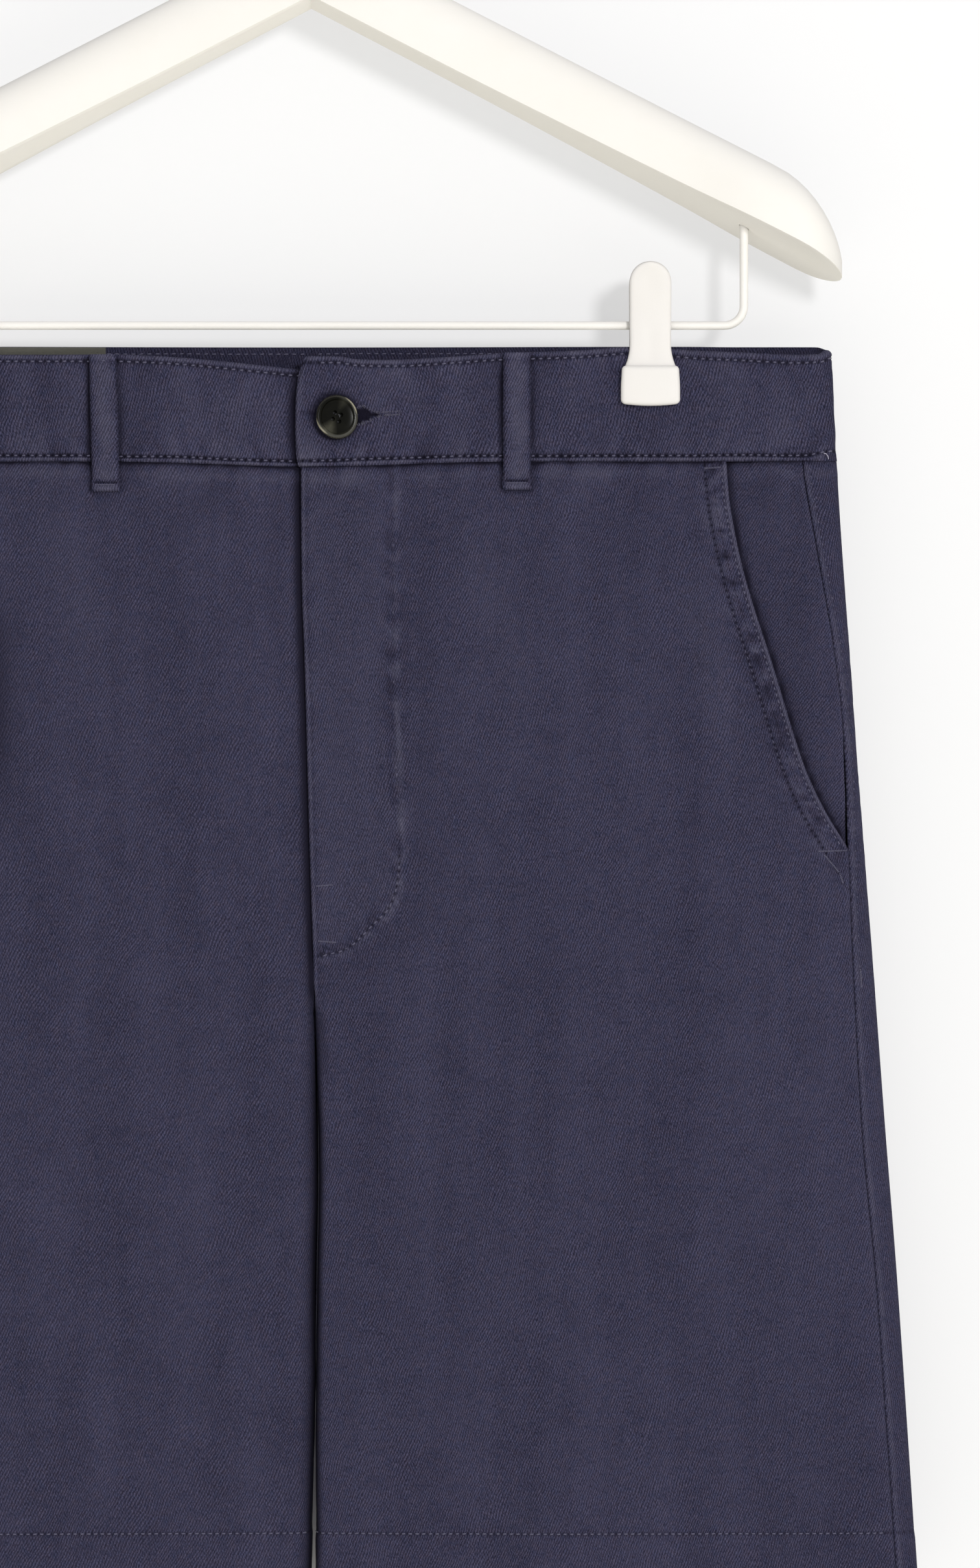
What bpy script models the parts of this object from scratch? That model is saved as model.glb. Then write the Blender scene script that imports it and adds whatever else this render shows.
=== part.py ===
"""Bermuda shorts held at the waistband by a clip hanger, each cut piece its own solid.

The garment hangs flat. Its surface is worked out from two depths in front of and behind the plane
Y = 0, which close in a round fold at each side and, below the crotch, in one at each inseam. Every
piece is a grid of points on that surface, or a little in front of or behind it, made thick inwards.

Axes: X to the wearer's left, Y to the back, Z up. The origin is the inside of the hook's top, where
a rail carries it. A "drop" is a depth below the back waistband's top edge. Lengths in the tables and
functions are millimetres; place() turns them into metres.
"""

import math

import bmesh
import bpy
from mathutils import Vector

MM = 0.001

# ---- driving dimensions ----
HOOK_TO_WAIST = 240.0  # from the origin down to the back waistband's top edge
CROTCH = 268.0  # drop of the point where the four panels meet
HEM = 505.0  # drop of the leg's edge
BAND_SEAM = 46.4  # drop of the waistband's lower edge
BAND_SAG = 2.4  # and how much lower it is at the front's middle
HEM_DEPTH = 30.0  # turned-up cloth inside each leg's edge
CLOTH = 1.2
HEM_CLOTH = 2.4
BAND = 2.8  # the folded waistband with its stiffening
SEAM = 0.3  # between pieces that touch
BAND_PROUD = 0.6  # the band's face in front of the panels' faces

CLIP_X = 136.6  # each clip from the middle
PINCH = 3.0  # from the middle plane to the panels' face line at a clip
FLAT_BESIDE_CLIP = 13.0
INSEAM_ROLL = 8.0  # half width of the fold at the inseam
INSEAM_APART = 0.35  # each edge of an inseam from the middle plane
LAP = 6.0  # the right front runs this far under the fly edge
LAP_SINK = 1.7  # and this far behind the left front's face
FLY_BOTTOM = 240.0
UNDERLAP = 38.0  # the right waistband's end from the middle
UNDERLAP_SINK = 3.2

# From the middle plane to the cloth's face, in front and behind.
WAIST_BOW = {"front": 8.6, "back": 5.0}  # between the clips, over PINCH
SIDE_BOW = 3.4  # outside the clips, over PINCH
HIP_DEPTH = {"front": 14.0, "back": 16.0}
LEG_DEPTH = {"front": 16.5, "back": 17.5}
CROTCH_RISE = {"front": 14.0, "back": 15.5}  # the middle sinks in over this much of the drop

BUTTON_X = 10.4
BUTTON_DROP = 28.3
BUTTON_ACROSS = 17.8
BUTTONHOLE_END = 33.0
BUTTONHOLE_EYE = 1.7
BUTTONHOLE_SLIT = 1.0

LOOP_HALF = 5.6
LOOP_LENGTH = 55.0
LOOP_THICK = 1.6
LOOP_BOW = 1.4

BAG_CLOTH = 1.0
BAG_SINK = CLOTH + 0.6
BAG_INNER_X = 88.0
BAG_BOTTOM = 238.0
FACING_SINK = BAG_SINK + BAG_CLOTH + SEAM
FACING_HIDDEN = 28.0  # the side piece runs on this far behind the pocket's edge

ZIP_START = 9.0  # the tape from the fly edge
ZIP_ACROSS = 26.0
ZIP_TAPE = 1.0
ZIP_COIL = 2.0
ZIP_COIL_HALF = 2.4
ZIP_SINK = 2.7
ZIP_TOP = 61.5
ZIP_BOTTOM = 234.0

LABEL_INNER_X = -82.8
LABEL_OUTER_X = -143.0
LABEL_TOP = 1.2
LABEL_BOTTOM = 38.0
LABEL_THICK = 1.0

WIRE = 3.4
BAR_DROP = -8.5
BAR_SIDE = 174.4  # each upright of the bar from the middle
BAR_BEND = 8.0
HOOK_WIRE = 4.0
HOOK_INSIDE = 19.0
ARM_TIP = 213.9
ARM_HEIGHT = 30.0
BOSS_TOP = 183.0  # above the back waistband's top edge
JAW_THICK = 2.4
PAD_ACROSS = 23.8
PAD_TOP = 8.0
PAD_BOTTOM = 23.2
PAD_THICK = 5.4
SPRING_LENGTH = 12.0
SPRING_RADIUS = 4.0

NAVY = (0.046, 0.043, 0.074, 1.0)
WHITE = (0.90, 0.88, 0.85, 1.0)


def table(names, *rows):
    """Rows of numbers under named columns; the first column is where the others are read."""
    return dict(zip(names.split(), zip(*rows)))


OUTLINE = table(
    "drop half_width side_seam side_roll",
    (0, 209.1, 196.5, 9),
    (48, 211.8, 197.9, 10),
    (80, 213.8, 203.2, 14),
    (125, 217.1, 211.0, 16),
    (165, 219.9, 215.2, 16),
    (205, 223.0, 216.5, 16),
    (252, 226.6, 218.2, 16),
    (315, 231.3, 221.6, 17),
    (377, 236.2, 227.3, 18),
    (505, 244.8, 236.3, 20),
)
# Where the left and right pieces meet; it wanders a little as the cloth hangs.
CENTRE = table(
    "drop x",
    (0, -3.8),
    (90, -3.6),
    (130, -2.3),
    (203, -0.3),
    (243, 1.0),
    (303, 2.6),
    (335, 3.1),
    (375, 2.3),
    (505, 1.0),
)
OVERLAP_END = table(
    "drop x",
    (4, -0.5),
    (9, -3.6),
    (15, -5.2),
    (24, -6.0),
    (42, -5.7),
    (50, -3.6),
)
POCKET_EDGE = table(
    "drop x",
    (46, 167.0),
    (66, 168.9),
    (94, 174.9),
    (129, 185.9),
    (167, 197.7),
    (185, 205.7),
    (202, 216.2),
)
POCKET_BOTTOM = 202.0
LEFT_BAND_TOP = table(
    "x drop",
    (-6, 4.4),
    (12, 4.4),
    (18, 5.5),
    (35, 5.7),
    (57, 4.4),
    (77, 2.9),
    (109, 1.6),
    (127, 0.2),
    (146, 0.5),
    (166, 2.2),
    (187, 4.4),
    (207, 3.7),
)
RIGHT_BAND_TOP = table(
    "x drop",
    (-207, 3.7),
    (-187, 4.4),
    (-150, 3.4),
    (-91, 3.4),
    (-77, 3.4),
    (-50, 5.0),
    (-21, 7.8),
    (-3, 9.4),
    (38, 10.2),
)
# Long soft folds: where each lies at the top and bottom of its run, and how far it stands out.
FOLDS = table(
    "face top_x bottom_x first_drop last_drop half_width out",
    ("front", 92, 98, 170, 560, 20, 1.5),
    ("front", 150, 172, 230, 560, 16, -1.2),
    ("front", 52, 38, 250, 540, 15, 1.1),
    ("front", 60, 84, 40, 190, 18, -0.9),
    ("front", -118, -126, 120, 560, 18, 1.6),
    ("front", -66, -50, 210, 540, 16, -1.1),
    ("front", -168, -186, 240, 560, 15, 1.0),
    ("front", -58, -80, 40, 200, 17, -0.8),
    ("back", 118, 104, 60, 540, 22, 2.0),
    ("back", 62, 74, 200, 560, 17, -1.4),
    ("back", 170, 188, 220, 560, 16, 1.2),
    ("back", -108, -120, 60, 540, 23, 1.9),
    ("back", -58, -66, 220, 560, 16, -1.3),
    ("back", -172, -180, 200, 560, 17, 1.1),
)
ARMS = table(
    "x underside depth",
    (0, 138.0, 18),
    (60, 106.9, 20),
    (110, 81.0, 26),
    (151, 59.7, 33),
    (180, 44.6, 42),
    (214, 27.0, 43),
)

# A clip's jaw, from the tab's round top to the foot of its pad; stand_off is its inner face.
JAW = table(
    "drop half_width stand_off",
    (-33.7, 2.2, 8.2),
    (-33.0, 4.4, 8.1),
    (-31.2, 6.5, 7.8),
    (-28.5, 7.9, 7.3),
    (-25.4, 8.35, 6.8),
    (-15.0, 8.35, 5.0),
    (-8.5, 8.35, 4.4),
    (0.8, 8.35, 4.2),
    (5.0, 9.1, 4.2),
    (8.4, 10.3, 4.2),
)

CORE_DROPS = (64, 90, 118, 146, 172, 190, 202, 222, 240, 252, 258, 263, 268, 282, 320, 365, 415)
PANEL_TOP = BAND_SEAM + SEAM
PANEL_DROPS = (PANEL_TOP,) + CORE_DROPS + (HEM - HEM_DEPTH - 3, HEM - HEM_DEPTH, HEM)
POCKET_DROPS = (PANEL_TOP, 66, 90, 118, 146, 172, 190, 202, 220, BAG_BOTTOM)
UNDERLAP_COLUMNS = [10.0, -9.0, -15.0, -21.0, -33.0, -54.0, -76.0]
SHIELD_DROPS = (47.2, 64, 80, 115, 150, 185, 215, 236)


# ---- small sums ----
def clamp(value, low=0.0, high=1.0):
    return max(low, min(high, value))


def smooth(value, start=0.0, end=1.0):
    t = clamp((value - start) / (end - start))
    return t * t * (3 - 2 * t)


def mix(a, b, t):
    return a + (b - a) * t


def read(rows, column, at):
    """A column of a table at any place, along a smooth curve through its rows."""
    keys = list(rows.values())[0]
    values = rows[column]
    if at <= keys[0]:
        return values[0]
    if at >= keys[-1]:
        return values[-1]
    i = max(k for k in range(len(keys) - 1) if keys[k] <= at)

    def slope(k):
        a, b = max(k - 1, 0), min(k + 1, len(keys) - 1)
        return (values[b] - values[a]) / (keys[b] - keys[a])

    span = keys[i + 1] - keys[i]
    t = (at - keys[i]) / span
    start = values[i] * (2 * t**3 - 3 * t**2 + 1) + slope(i) * span * (t**3 - 2 * t**2 + t)
    end = values[i + 1] * (3 * t**2 - 2 * t**3) + slope(i + 1) * span * (t**3 - t**2)
    return start + end


def steps(start, end, count):
    return [mix(start, end, k / count) for k in range(count + 1)]


# ---- the garment's surface ----
def side_factor(side):
    """+1 on the wearer's left, -1 on the right."""
    return 1 if side == "left" else -1


def centre(drop):
    return read(CENTRE, "x", drop)


def leg_gap(drop):
    """Half of the space between the legs, which all but touch and part near their edges."""
    return SEAM / 2 + 0.9 * smooth(drop, HEM - 90, HEM)


def waist_depth(face, x):
    """At the waist the clips press the bands together, and the cloth bows out between them."""
    beside = abs(x) - CLIP_X
    half_span = CLIP_X - FLAT_BESIDE_CLIP
    if beside < -FLAT_BESIDE_CLIP:
        bow = WAIST_BOW[face] * (1 - (x / half_span) ** 2) ** 1.4
    else:
        bow = SIDE_BOW * smooth(beside, FLAT_BESIDE_CLIP, 2.6 * FLAT_BESIDE_CLIP)
    return PINCH + bow


def hip_depth(face, x):
    """A flat oval, shallower at the sides."""
    return HIP_DEPTH[face] - 2.5 * (x / 215) ** 2


def leg_depth(face, x):
    """A flat oval for each leg, deepest down its middle."""
    return LEG_DEPTH[face] - 4.0 * ((abs(x) - 118) / 110) ** 2


def fold_depth(face, x, drop):
    total = 0.0
    for k in range(len(FOLDS["face"])):
        fold = {name: column[k] for name, column in FOLDS.items()}
        if fold["face"] != face:
            continue
        run = clamp((drop - fold["first_drop"]) / (fold["last_drop"] - fold["first_drop"]))
        away = (x - mix(fold["top_x"], fold["bottom_x"], run)) / fold["half_width"]
        total += fold["out"] * math.exp(-away * away) * math.sin(math.pi * run) ** 0.6
    return total


def depth_from_middle(face, x, drop):
    """How far the cloth's face stands from the middle plane, before it rolls into a fold."""
    to_hip = smooth(drop, 25, 132) ** 0.6
    to_leg = smooth(drop, 215, 420)
    body = mix(waist_depth(face, x), hip_depth(face, x), to_hip)
    return mix(body, leg_depth(face, x), to_leg) + fold_depth(face, x, drop)


def quarter(t):
    """The round of a fold: 0 at its edge and 1 where the cloth is flat again."""
    return math.sqrt(max(0.0, 1 - (1 - clamp(t)) ** 2))


def groove(face, side, x, drop):
    """Towards the crotch the middle sinks in, until each leg closes in a fold of its own."""
    rise = CROTCH_RISE[face]
    split = clamp((drop - (CROTCH - rise)) / rise)
    inner = side_factor(side) * (x - centre(drop)) - leg_gap(drop)
    return math.sqrt(max(0.0, 1 - (split * (1 - clamp(inner / INSEAM_ROLL))) ** 2))


def band_seam(x):
    """The drop of the seam under the waistband, a little lower at the front's middle."""
    return BAND_SEAM + BAND_SAG * math.exp(-((x / 52) ** 2))


def sagged(x, drop):
    """Rows near the waistband follow its seam."""
    return drop + (band_seam(x) - BAND_SEAM) * (1 - smooth(drop, 47, 110))


def surface(side, face, x, drop, proud=0.0):
    """A point of the garment's outer face, or one proud of it, in millimetres."""
    outer = read(OUTLINE, "half_width", drop) + proud - abs(x)
    depth = depth_from_middle(face, x, drop) + proud
    depth *= quarter(outer / read(OUTLINE, "side_roll", drop)) * groove(face, side, x, drop)
    if abs(x) < CLIP_X:
        depth = max(depth, INSEAM_APART)
    return Vector((x, -depth if face == "front" else depth, -HOOK_TO_WAIST - drop))


# ---- building solids ----
def place(point):
    return Vector(point) * MM


def material(name, colour, roughness, metallic=0.0):
    made = bpy.data.materials.new(name)
    made.use_nodes = True
    shader = made.node_tree.nodes["Principled BSDF"]
    shader.inputs["Base Color"].default_value = colour
    shader.inputs["Roughness"].default_value = roughness
    shader.inputs["Metallic"].default_value = metallic
    made.diffuse_color = colour
    return made


def collection(name):
    made = bpy.data.collections.new(name)
    bpy.context.scene.collection.children.link(made)
    return made


def add(name, mesh, finish, group):
    made = bpy.data.objects.new(name, mesh)
    group.objects.link(made)
    if finish:
        mesh.materials.append(finish)
    return made


def grid_mesh(name, rows, turned):
    """Quads between rows of points; turned puts their outer side the other way."""
    bm = bmesh.new()
    verts = [[bm.verts.new(place(point)) for point in row] for row in rows]
    for upper, lower in zip(verts, verts[1:]):
        for k in range(len(upper) - 1):
            quad = (upper[k], lower[k], lower[k + 1], upper[k + 1])
            bm.faces.new(reversed(quad) if turned else quad)
    mesh = bpy.data.meshes.new(name)
    bm.to_mesh(mesh)
    bm.free()
    return mesh


def cloth(name, rows, turned, thickness, finish, group):
    """A wall of cloth inwards from its outer face."""
    piece = add(name, grid_mesh(name, rows, turned), finish, group)
    wall = piece.modifiers.new("Cloth", "SOLIDIFY")
    wall.thickness = thickness * MM
    wall.offset = -1
    piece.data.shade_smooth()
    piece.data.set_sharp_from_angle(angle=math.radians(50))
    return piece


def thicken(piece, thin, thick, is_thick):
    """Makes the wall thick where is_thick(drop, x) says so, and thin elsewhere."""
    weights = piece.vertex_groups.new(name="thick")
    for vertex in piece.data.vertices:
        drop = -vertex.co.z / MM - HOOK_TO_WAIST
        if is_thick(drop, vertex.co.x / MM):
            weights.add([vertex.index], 1.0, "REPLACE")
    wall = piece.modifiers["Cloth"]
    wall.thickness = thick * MM
    wall.vertex_group = "thick"
    wall.thickness_vertex_group = thin / thick


def loft(name, rings, finish, group):
    """A closed solid through rings of equal count."""
    bm = bmesh.new()
    verts = [[bm.verts.new(place(point)) for point in ring] for ring in rings]
    for first, second in zip(verts, verts[1:]):
        for k in range(len(first)):
            after = (k + 1) % len(first)
            bm.faces.new((first[k], first[after], second[after], second[k]))
    bm.faces.new(reversed(verts[0]))
    bm.faces.new(verts[-1])
    bmesh.ops.recalc_face_normals(bm, faces=bm.faces)
    mesh = bpy.data.meshes.new(name)
    bm.to_mesh(mesh)
    bm.free()
    return add(name, mesh, finish, group)


def block(name, centre_at, size, finish, group, bevel=0.0):
    bm = bmesh.new()
    bmesh.ops.create_cube(bm, size=1)
    bmesh.ops.scale(bm, vec=place(size), verts=bm.verts)
    mesh = bpy.data.meshes.new(name)
    bm.to_mesh(mesh)
    bm.free()
    made = add(name, mesh, finish, group)
    made.location = place(centre_at)
    if bevel:
        edges = made.modifiers.new("Edges", "BEVEL")
        edges.width = bevel * MM
        edges.segments = 2
    return made


def cylinder(name, centre_at, radius, length, finish, group, along="Z", sides=24):
    bm = bmesh.new()
    bmesh.ops.create_cone(
        bm,
        cap_ends=True,
        segments=sides,
        radius1=radius * MM,
        radius2=radius * MM,
        depth=length * MM,
    )
    mesh = bpy.data.meshes.new(name)
    bm.to_mesh(mesh)
    bm.free()
    made = add(name, mesh, finish, group)
    made.location = place(centre_at)
    quarter_turn = math.pi / 2
    made.rotation_euler = {
        "X": (0, quarter_turn, 0),
        "Y": (quarter_turn, 0, 0),
        "Z": (0, 0, 0),
    }[along]
    return made


def wire(name, points, across, finish, group, sides=2):
    curve = bpy.data.curves.new(name, "CURVE")
    curve.dimensions = "3D"
    curve.bevel_depth = across / 2 * MM
    curve.bevel_resolution = sides
    curve.use_fill_caps = True
    line = curve.splines.new("POLY")
    line.points.add(len(points) - 1)
    for point, at in zip(line.points, points):
        point.co = (*place(at), 1)
    return add(name, curve, finish, group)


def combine(target, other, operation):
    """Cuts another object out of a piece, or joins it on; the other one stays as a guide."""
    step = target.modifiers.new(other.name, "BOOLEAN")
    step.operation = operation
    step.solver = "EXACT"
    step.object = other
    other.hide_render = True
    other.display_type = "WIRE"


def arc(middle, radius, start, end, count):
    """Points of an arc in the XZ plane, angles in degrees from +X towards +Z."""
    turns = [math.radians(a) for a in steps(start, end, count)]
    return [
        (middle[0] + radius * math.cos(a), 0.0, middle[1] + radius * math.sin(a))
        for a in turns
    ]


# ---- rows of points across the cloth ----
EDGE_ROW = 0.8  # a row this near a side seam keeps both edges facing the same way


def inseam_offsets():
    """Distances from an inseam at which its round fold needs points."""
    return [INSEAM_ROLL * (1 - math.cos(math.radians(a))) for a in steps(0, 90, 5)]


def across_front(side, x_in, x_out):
    """The x of each column of a front panel, from its inner edge to its outer one."""
    sign = side_factor(side)
    rolled = [x_in + sign * d for d in inseam_offsets()]
    flat = steps(rolled[-1], x_out - sign * 11, 8)
    return rolled[:-1] + flat + [x_out - sign * d for d in (5, EDGE_ROW, 0)]


def round_side(side, x_start, side_roll, width, x_ends):
    """(face, x) from a front edge round the side fold and along the back to x_ends."""
    sign = side_factor(side)
    path = [("front", x_start), ("front", x_start + sign * EDGE_ROW)]
    for a in (28, 50, 70, 90):
        path.append(("front", mix(x_start, sign * width, math.sin(math.radians(a)))))
    for a in (18, 38, 62, 90):
        path.append(("back", sign * (width - side_roll * (1 - math.cos(math.radians(a))))))
    return path + [("back", x) for x in x_ends]


def front_inner_x(side, drop):
    """Where a front panel's inner edge runs: the fly edge, the centre seam, then the inseam."""
    sign = side_factor(side)
    if side == "left":
        return centre(drop) + leg_gap(drop) * smooth(drop, FLY_BOTTOM - 10, FLY_BOTTOM)
    lap = LAP * (1 - smooth(drop, FLY_BOTTOM - 10, FLY_BOTTOM))
    return centre(drop) + sign * leg_gap(drop) + lap


def lap_sink(x, drop):
    """How far the right front lies back to pass under the fly edge, more so near its waistband."""
    near = smooth(x, centre(drop) - 28, centre(drop) - 2)
    sink = mix(UNDERLAP_SINK - 0.2, LAP_SINK, smooth(drop, 48, 92))
    return sink * near * (1 - smooth(drop, FLY_BOTTOM + 2, FLY_BOTTOM + 12))


def front_outer_x(side, drop):
    seam = read(OUTLINE, "side_seam", drop)
    edge = read(POCKET_EDGE, "x", drop) if drop < POCKET_BOTTOM else seam - SEAM / 2
    return side_factor(side) * min(edge, seam - SEAM / 2)


# ---- the pieces ----
def front_panel(side, finish, group):
    rows = []
    for drop in PANEL_DROPS:
        row = []
        for x in across_front(side, front_inner_x(side, drop), front_outer_x(side, drop)):
            sink = lap_sink(x, drop) if side == "right" else 0.0
            row.append(surface(side, "front", x, sagged(x, drop), -sink))
        rows.append(row)
    panel = cloth(f"front_{side}", rows, side == "right", CLOTH, finish, group)
    thicken(panel, CLOTH, HEM_CLOTH, lambda drop, x: drop > HEM - HEM_DEPTH - 1)


def back_panel(side, finish, group):
    sign = side_factor(side)
    rows = []
    for drop in PANEL_DROPS:
        seam = sign * (read(OUTLINE, "side_seam", drop) + SEAM / 2)
        width = read(OUTLINE, "half_width", drop)
        roll = read(OUTLINE, "side_roll", drop)
        x_in = centre(drop) + sign * leg_gap(drop)
        rolled = [x_in + sign * d for d in inseam_offsets()]
        flat = steps(sign * (width - roll), rolled[-1], 7)[1:]
        path = round_side(side, seam, roll, width, flat + rolled[-2::-1])
        rows.append([surface(side, face, x, drop) for face, x in path])
    panel = cloth(f"back_{side}", rows, side == "right", CLOTH, finish, group)
    thicken(panel, CLOTH, HEM_CLOTH, lambda drop, x: drop > HEM - HEM_DEPTH - 1)


def band_top(side, face, x):
    """The drop of the waistband's top edge; the back's is level and the front's sags."""
    rows = LEFT_BAND_TOP if side == "left" else RIGHT_BAND_TOP
    to_side = smooth(abs(x), 200, 211)
    if face == "front":
        return mix(read(rows, "drop", x), 1.6, to_side)
    return 1.6 * to_side


def waistband(side, finish, group):
    sign = side_factor(side)
    beside_clip = [sign * (CLIP_X + d) for d in (-40, -FLAT_BESIDE_CLIP, FLAT_BESIDE_CLIP, 24, 35)]
    rows = []
    for down in (0.0, 0.26, 0.52, 0.76, 1.0):
        row = []
        near = mix(6, BAND_SEAM, down)
        width = read(OUTLINE, "half_width", near) + BAND_PROUD
        roll = read(OUTLINE, "side_roll", near)
        start = read(OVERLAP_END, "x", near) if side == "left" else UNDERLAP
        inner = steps(start, beside_clip[0], 5)[:-1]
        if side == "right":
            inner = [start] + UNDERLAP_COLUMNS
        path = [("front", x) for x in inner + beside_clip[:-1]]
        along_back = beside_clip[::-1] + steps(beside_clip[0], sign * SEAM / 2, 4)[1:]
        path += round_side(side, beside_clip[-1], roll, width, along_back)
        for face, x in path:
            bottom = (band_seam(x) if face == "front" else BAND_SEAM) - SEAM
            drop = mix(band_top(side, face, x), bottom, down)
            under = smooth(x, -32, -8) if side == "right" and face == "front" else 0.0
            proud = BAND_PROUD - UNDERLAP_SINK * under
            row.append(surface(side, face, x, drop, proud))
        rows.append(row)
    return cloth(f"waistband_{side}", rows, side == "right", BAND, finish, group)


def buttonhole(band, guides):
    """A keyhole slit in the overlap: a round eye for the shank, and a straight slit."""
    face = surface("left", "front", BUTTON_X, BUTTON_DROP, BAND_PROUD)
    eye = cylinder("buttonhole_eye", face, BUTTONHOLE_EYE, 12, None, guides, "Y", sides=16)
    slit_length = BUTTONHOLE_END - BUTTON_X
    slit_at = face + Vector((slit_length / 2, 0, 0))
    slit_size = (slit_length, 12, BUTTONHOLE_SLIT)
    slit = block("buttonhole_slit", slit_at, slit_size, None, guides)
    combine(band, eye, "DIFFERENCE")
    combine(band, slit, "DIFFERENCE")


def belt_loop(name, face, x, finish, group):
    """A strip from the band's top edge down over its seam, standing out a little for a belt."""
    side = "left" if x > 0 else "right"
    top = band_top(side, face, x) + 0.2
    rows = []
    for down in (0.0, 0.1, 0.3, 0.5, 0.7, 0.86, 1.0):
        drop = top + LOOP_LENGTH * down
        on_band = BAND_PROUD if down < 0.9 else 0.0
        proud = on_band + 0.4 + LOOP_THICK + LOOP_BOW * math.sin(math.pi * down) ** 2
        middle = x + (down - 0.5) * (1.6 if x < 0 else 0.0)
        columns = (middle - LOOP_HALF, middle, middle + LOOP_HALF)
        rows.append([surface(side, face, at, drop, proud) for at in columns])
    cloth(name, rows, face == "back", LOOP_THICK, finish, group)


def facing_sink(side, x, drop):
    """The pocket's side piece is level with the side seam, then dips under the pocket's edge."""
    seam = read(OUTLINE, "side_seam", drop)
    edge = min(read(POCKET_EDGE, "x", drop), seam - 4)
    lifted = 1 - smooth(drop, 180, 198)
    return FACING_SINK * (1 - lifted * smooth(abs(x), edge, seam))


def bag_edge(drop):
    """The bag's outer edge: beside the pocket's mouth, and below it a round corner."""
    mouth = read(POCKET_EDGE, "x", drop) - 1.0
    return min(mouth, 203 - 36 * clamp((drop - 180) / (BAG_BOTTOM - 180)) ** 2)


def pocket_facing(side, finish, group):
    """The bag's back layer where it shows, level with the side seam and sunk at the mouth."""
    sign = side_factor(side)
    x_in = POCKET_EDGE["x"][0] - FACING_HIDDEN
    rows = []
    for drop in POCKET_DROPS:
        x_out = read(OUTLINE, "side_seam", drop) - SEAM / 2 - 0.8 * smooth(drop, 146, 172)
        if drop > POCKET_BOTTOM:
            x_out = bag_edge(drop)
        shown = min(read(POCKET_EDGE, "x", drop), x_out - 6)
        columns = steps(x_in, shown, 3) + steps(shown, x_out - EDGE_ROW, 2)[1:] + [x_out]
        row = []
        for x in columns:
            sink = facing_sink(side, x, drop)
            row.append(surface(side, "front", sign * x, sagged(sign * x, drop), -sink))
        rows.append(row)
    cloth(f"pocket_facing_{side}", rows, side == "right", CLOTH, finish, group)


def pocket_bag(side, finish, group):
    """Two layers, the hand going between them; the facing completes the back one."""
    sign = side_factor(side)
    facing_x = POCKET_EDGE["x"][0] - FACING_HIDDEN - SEAM
    for name, sink in (("pocket_bag_front", BAG_SINK), ("pocket_bag_back", FACING_SINK)):
        rows = []
        for drop in POCKET_DROPS:
            edge = bag_edge(drop)
            columns = steps(BAG_INNER_X, facing_x, 2) + steps(facing_x, edge - 9, 2)[1:] + [edge]
            if name == "pocket_bag_back":
                columns = columns[:3]
            row = []
            for x in columns:
                corner = 12 * (1 - clamp((x - BAG_INNER_X) / 20)) * smooth(drop, 200, BAG_BOTTOM)
                row.append(surface(side, "front", sign * x, sagged(sign * x, drop) - corner, -sink))
            rows.append(row)
        cloth(f"{name}_{side}", rows, side == "right", BAG_CLOTH, finish, group)


def fly_shield(finish, group):
    """Hangs behind the zip from the waistband, sewn to the right front's edge."""
    rows = []
    for drop in SHIELD_DROPS:
        narrowed = 8 * smooth(drop, 185, SHIELD_DROPS[-1])
        middle = centre(drop)
        row = []
        for across in (-8, -2, 5.5, 9.5, 20, 34 - narrowed):
            sink = lap_sink(middle + across, drop) + CLOTH + SEAM + 2.3 * smooth(across, 5.5, 9.5)
            row.append(surface("left", "front", middle + across, sagged(0, drop), -sink))
        rows.append(row)
    cloth("fly_shield", rows, False, CLOTH, finish, group)


def zip_tape(finish, group):
    """Both tapes and the closed coil down their middle."""
    middle = ZIP_ACROSS / 2
    coil = [middle + d for d in (-ZIP_COIL_HALF - 0.4, -ZIP_COIL_HALF, ZIP_COIL_HALF, ZIP_COIL_HALF + 0.4)]
    rows = []
    for drop in (ZIP_TOP, 90, 120, 150, 180, 208, ZIP_BOTTOM):
        start = centre(drop) + ZIP_START
        row = []
        for across in [0] + coil + [ZIP_ACROSS]:
            row.append(surface("left", "front", start + across, drop, -ZIP_SINK))
        rows.append(row)
    tape = cloth("zip_tape", rows, False, ZIP_TAPE, finish, group)

    def on_coil(drop, x):
        return abs(x - centre(drop) - ZIP_START - middle) < ZIP_COIL_HALF + 0.2

    thicken(tape, ZIP_TAPE, ZIP_COIL, on_coil)


def zip_slider(finish, group, guides):
    """The slider at the closed zip's top, its tab lying down over the coil."""
    drop = ZIP_TOP - 5.3
    x = centre(drop) + ZIP_START + ZIP_ACROSS / 2
    at = surface("left", "front", x, drop, -ZIP_SINK)
    body = block("zip_slider", at + Vector((0, 0.8, 0)), (8.4, 3.0, 9.6), finish, group, bevel=0.5)
    tab_ends = [surface("left", "front", at.x, drop + d, 0.7 - ZIP_SINK) for d in (2, 18)]
    tab = block("slider_tab", (tab_ends[0] + tab_ends[1]) / 2, (4.6, 0.7, 16.0), None, guides)
    run = tab_ends[1] - tab_ends[0]
    tab.rotation_euler.x = math.atan2(run.y, -run.z)
    combine(body, tab, "UNION")


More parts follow.
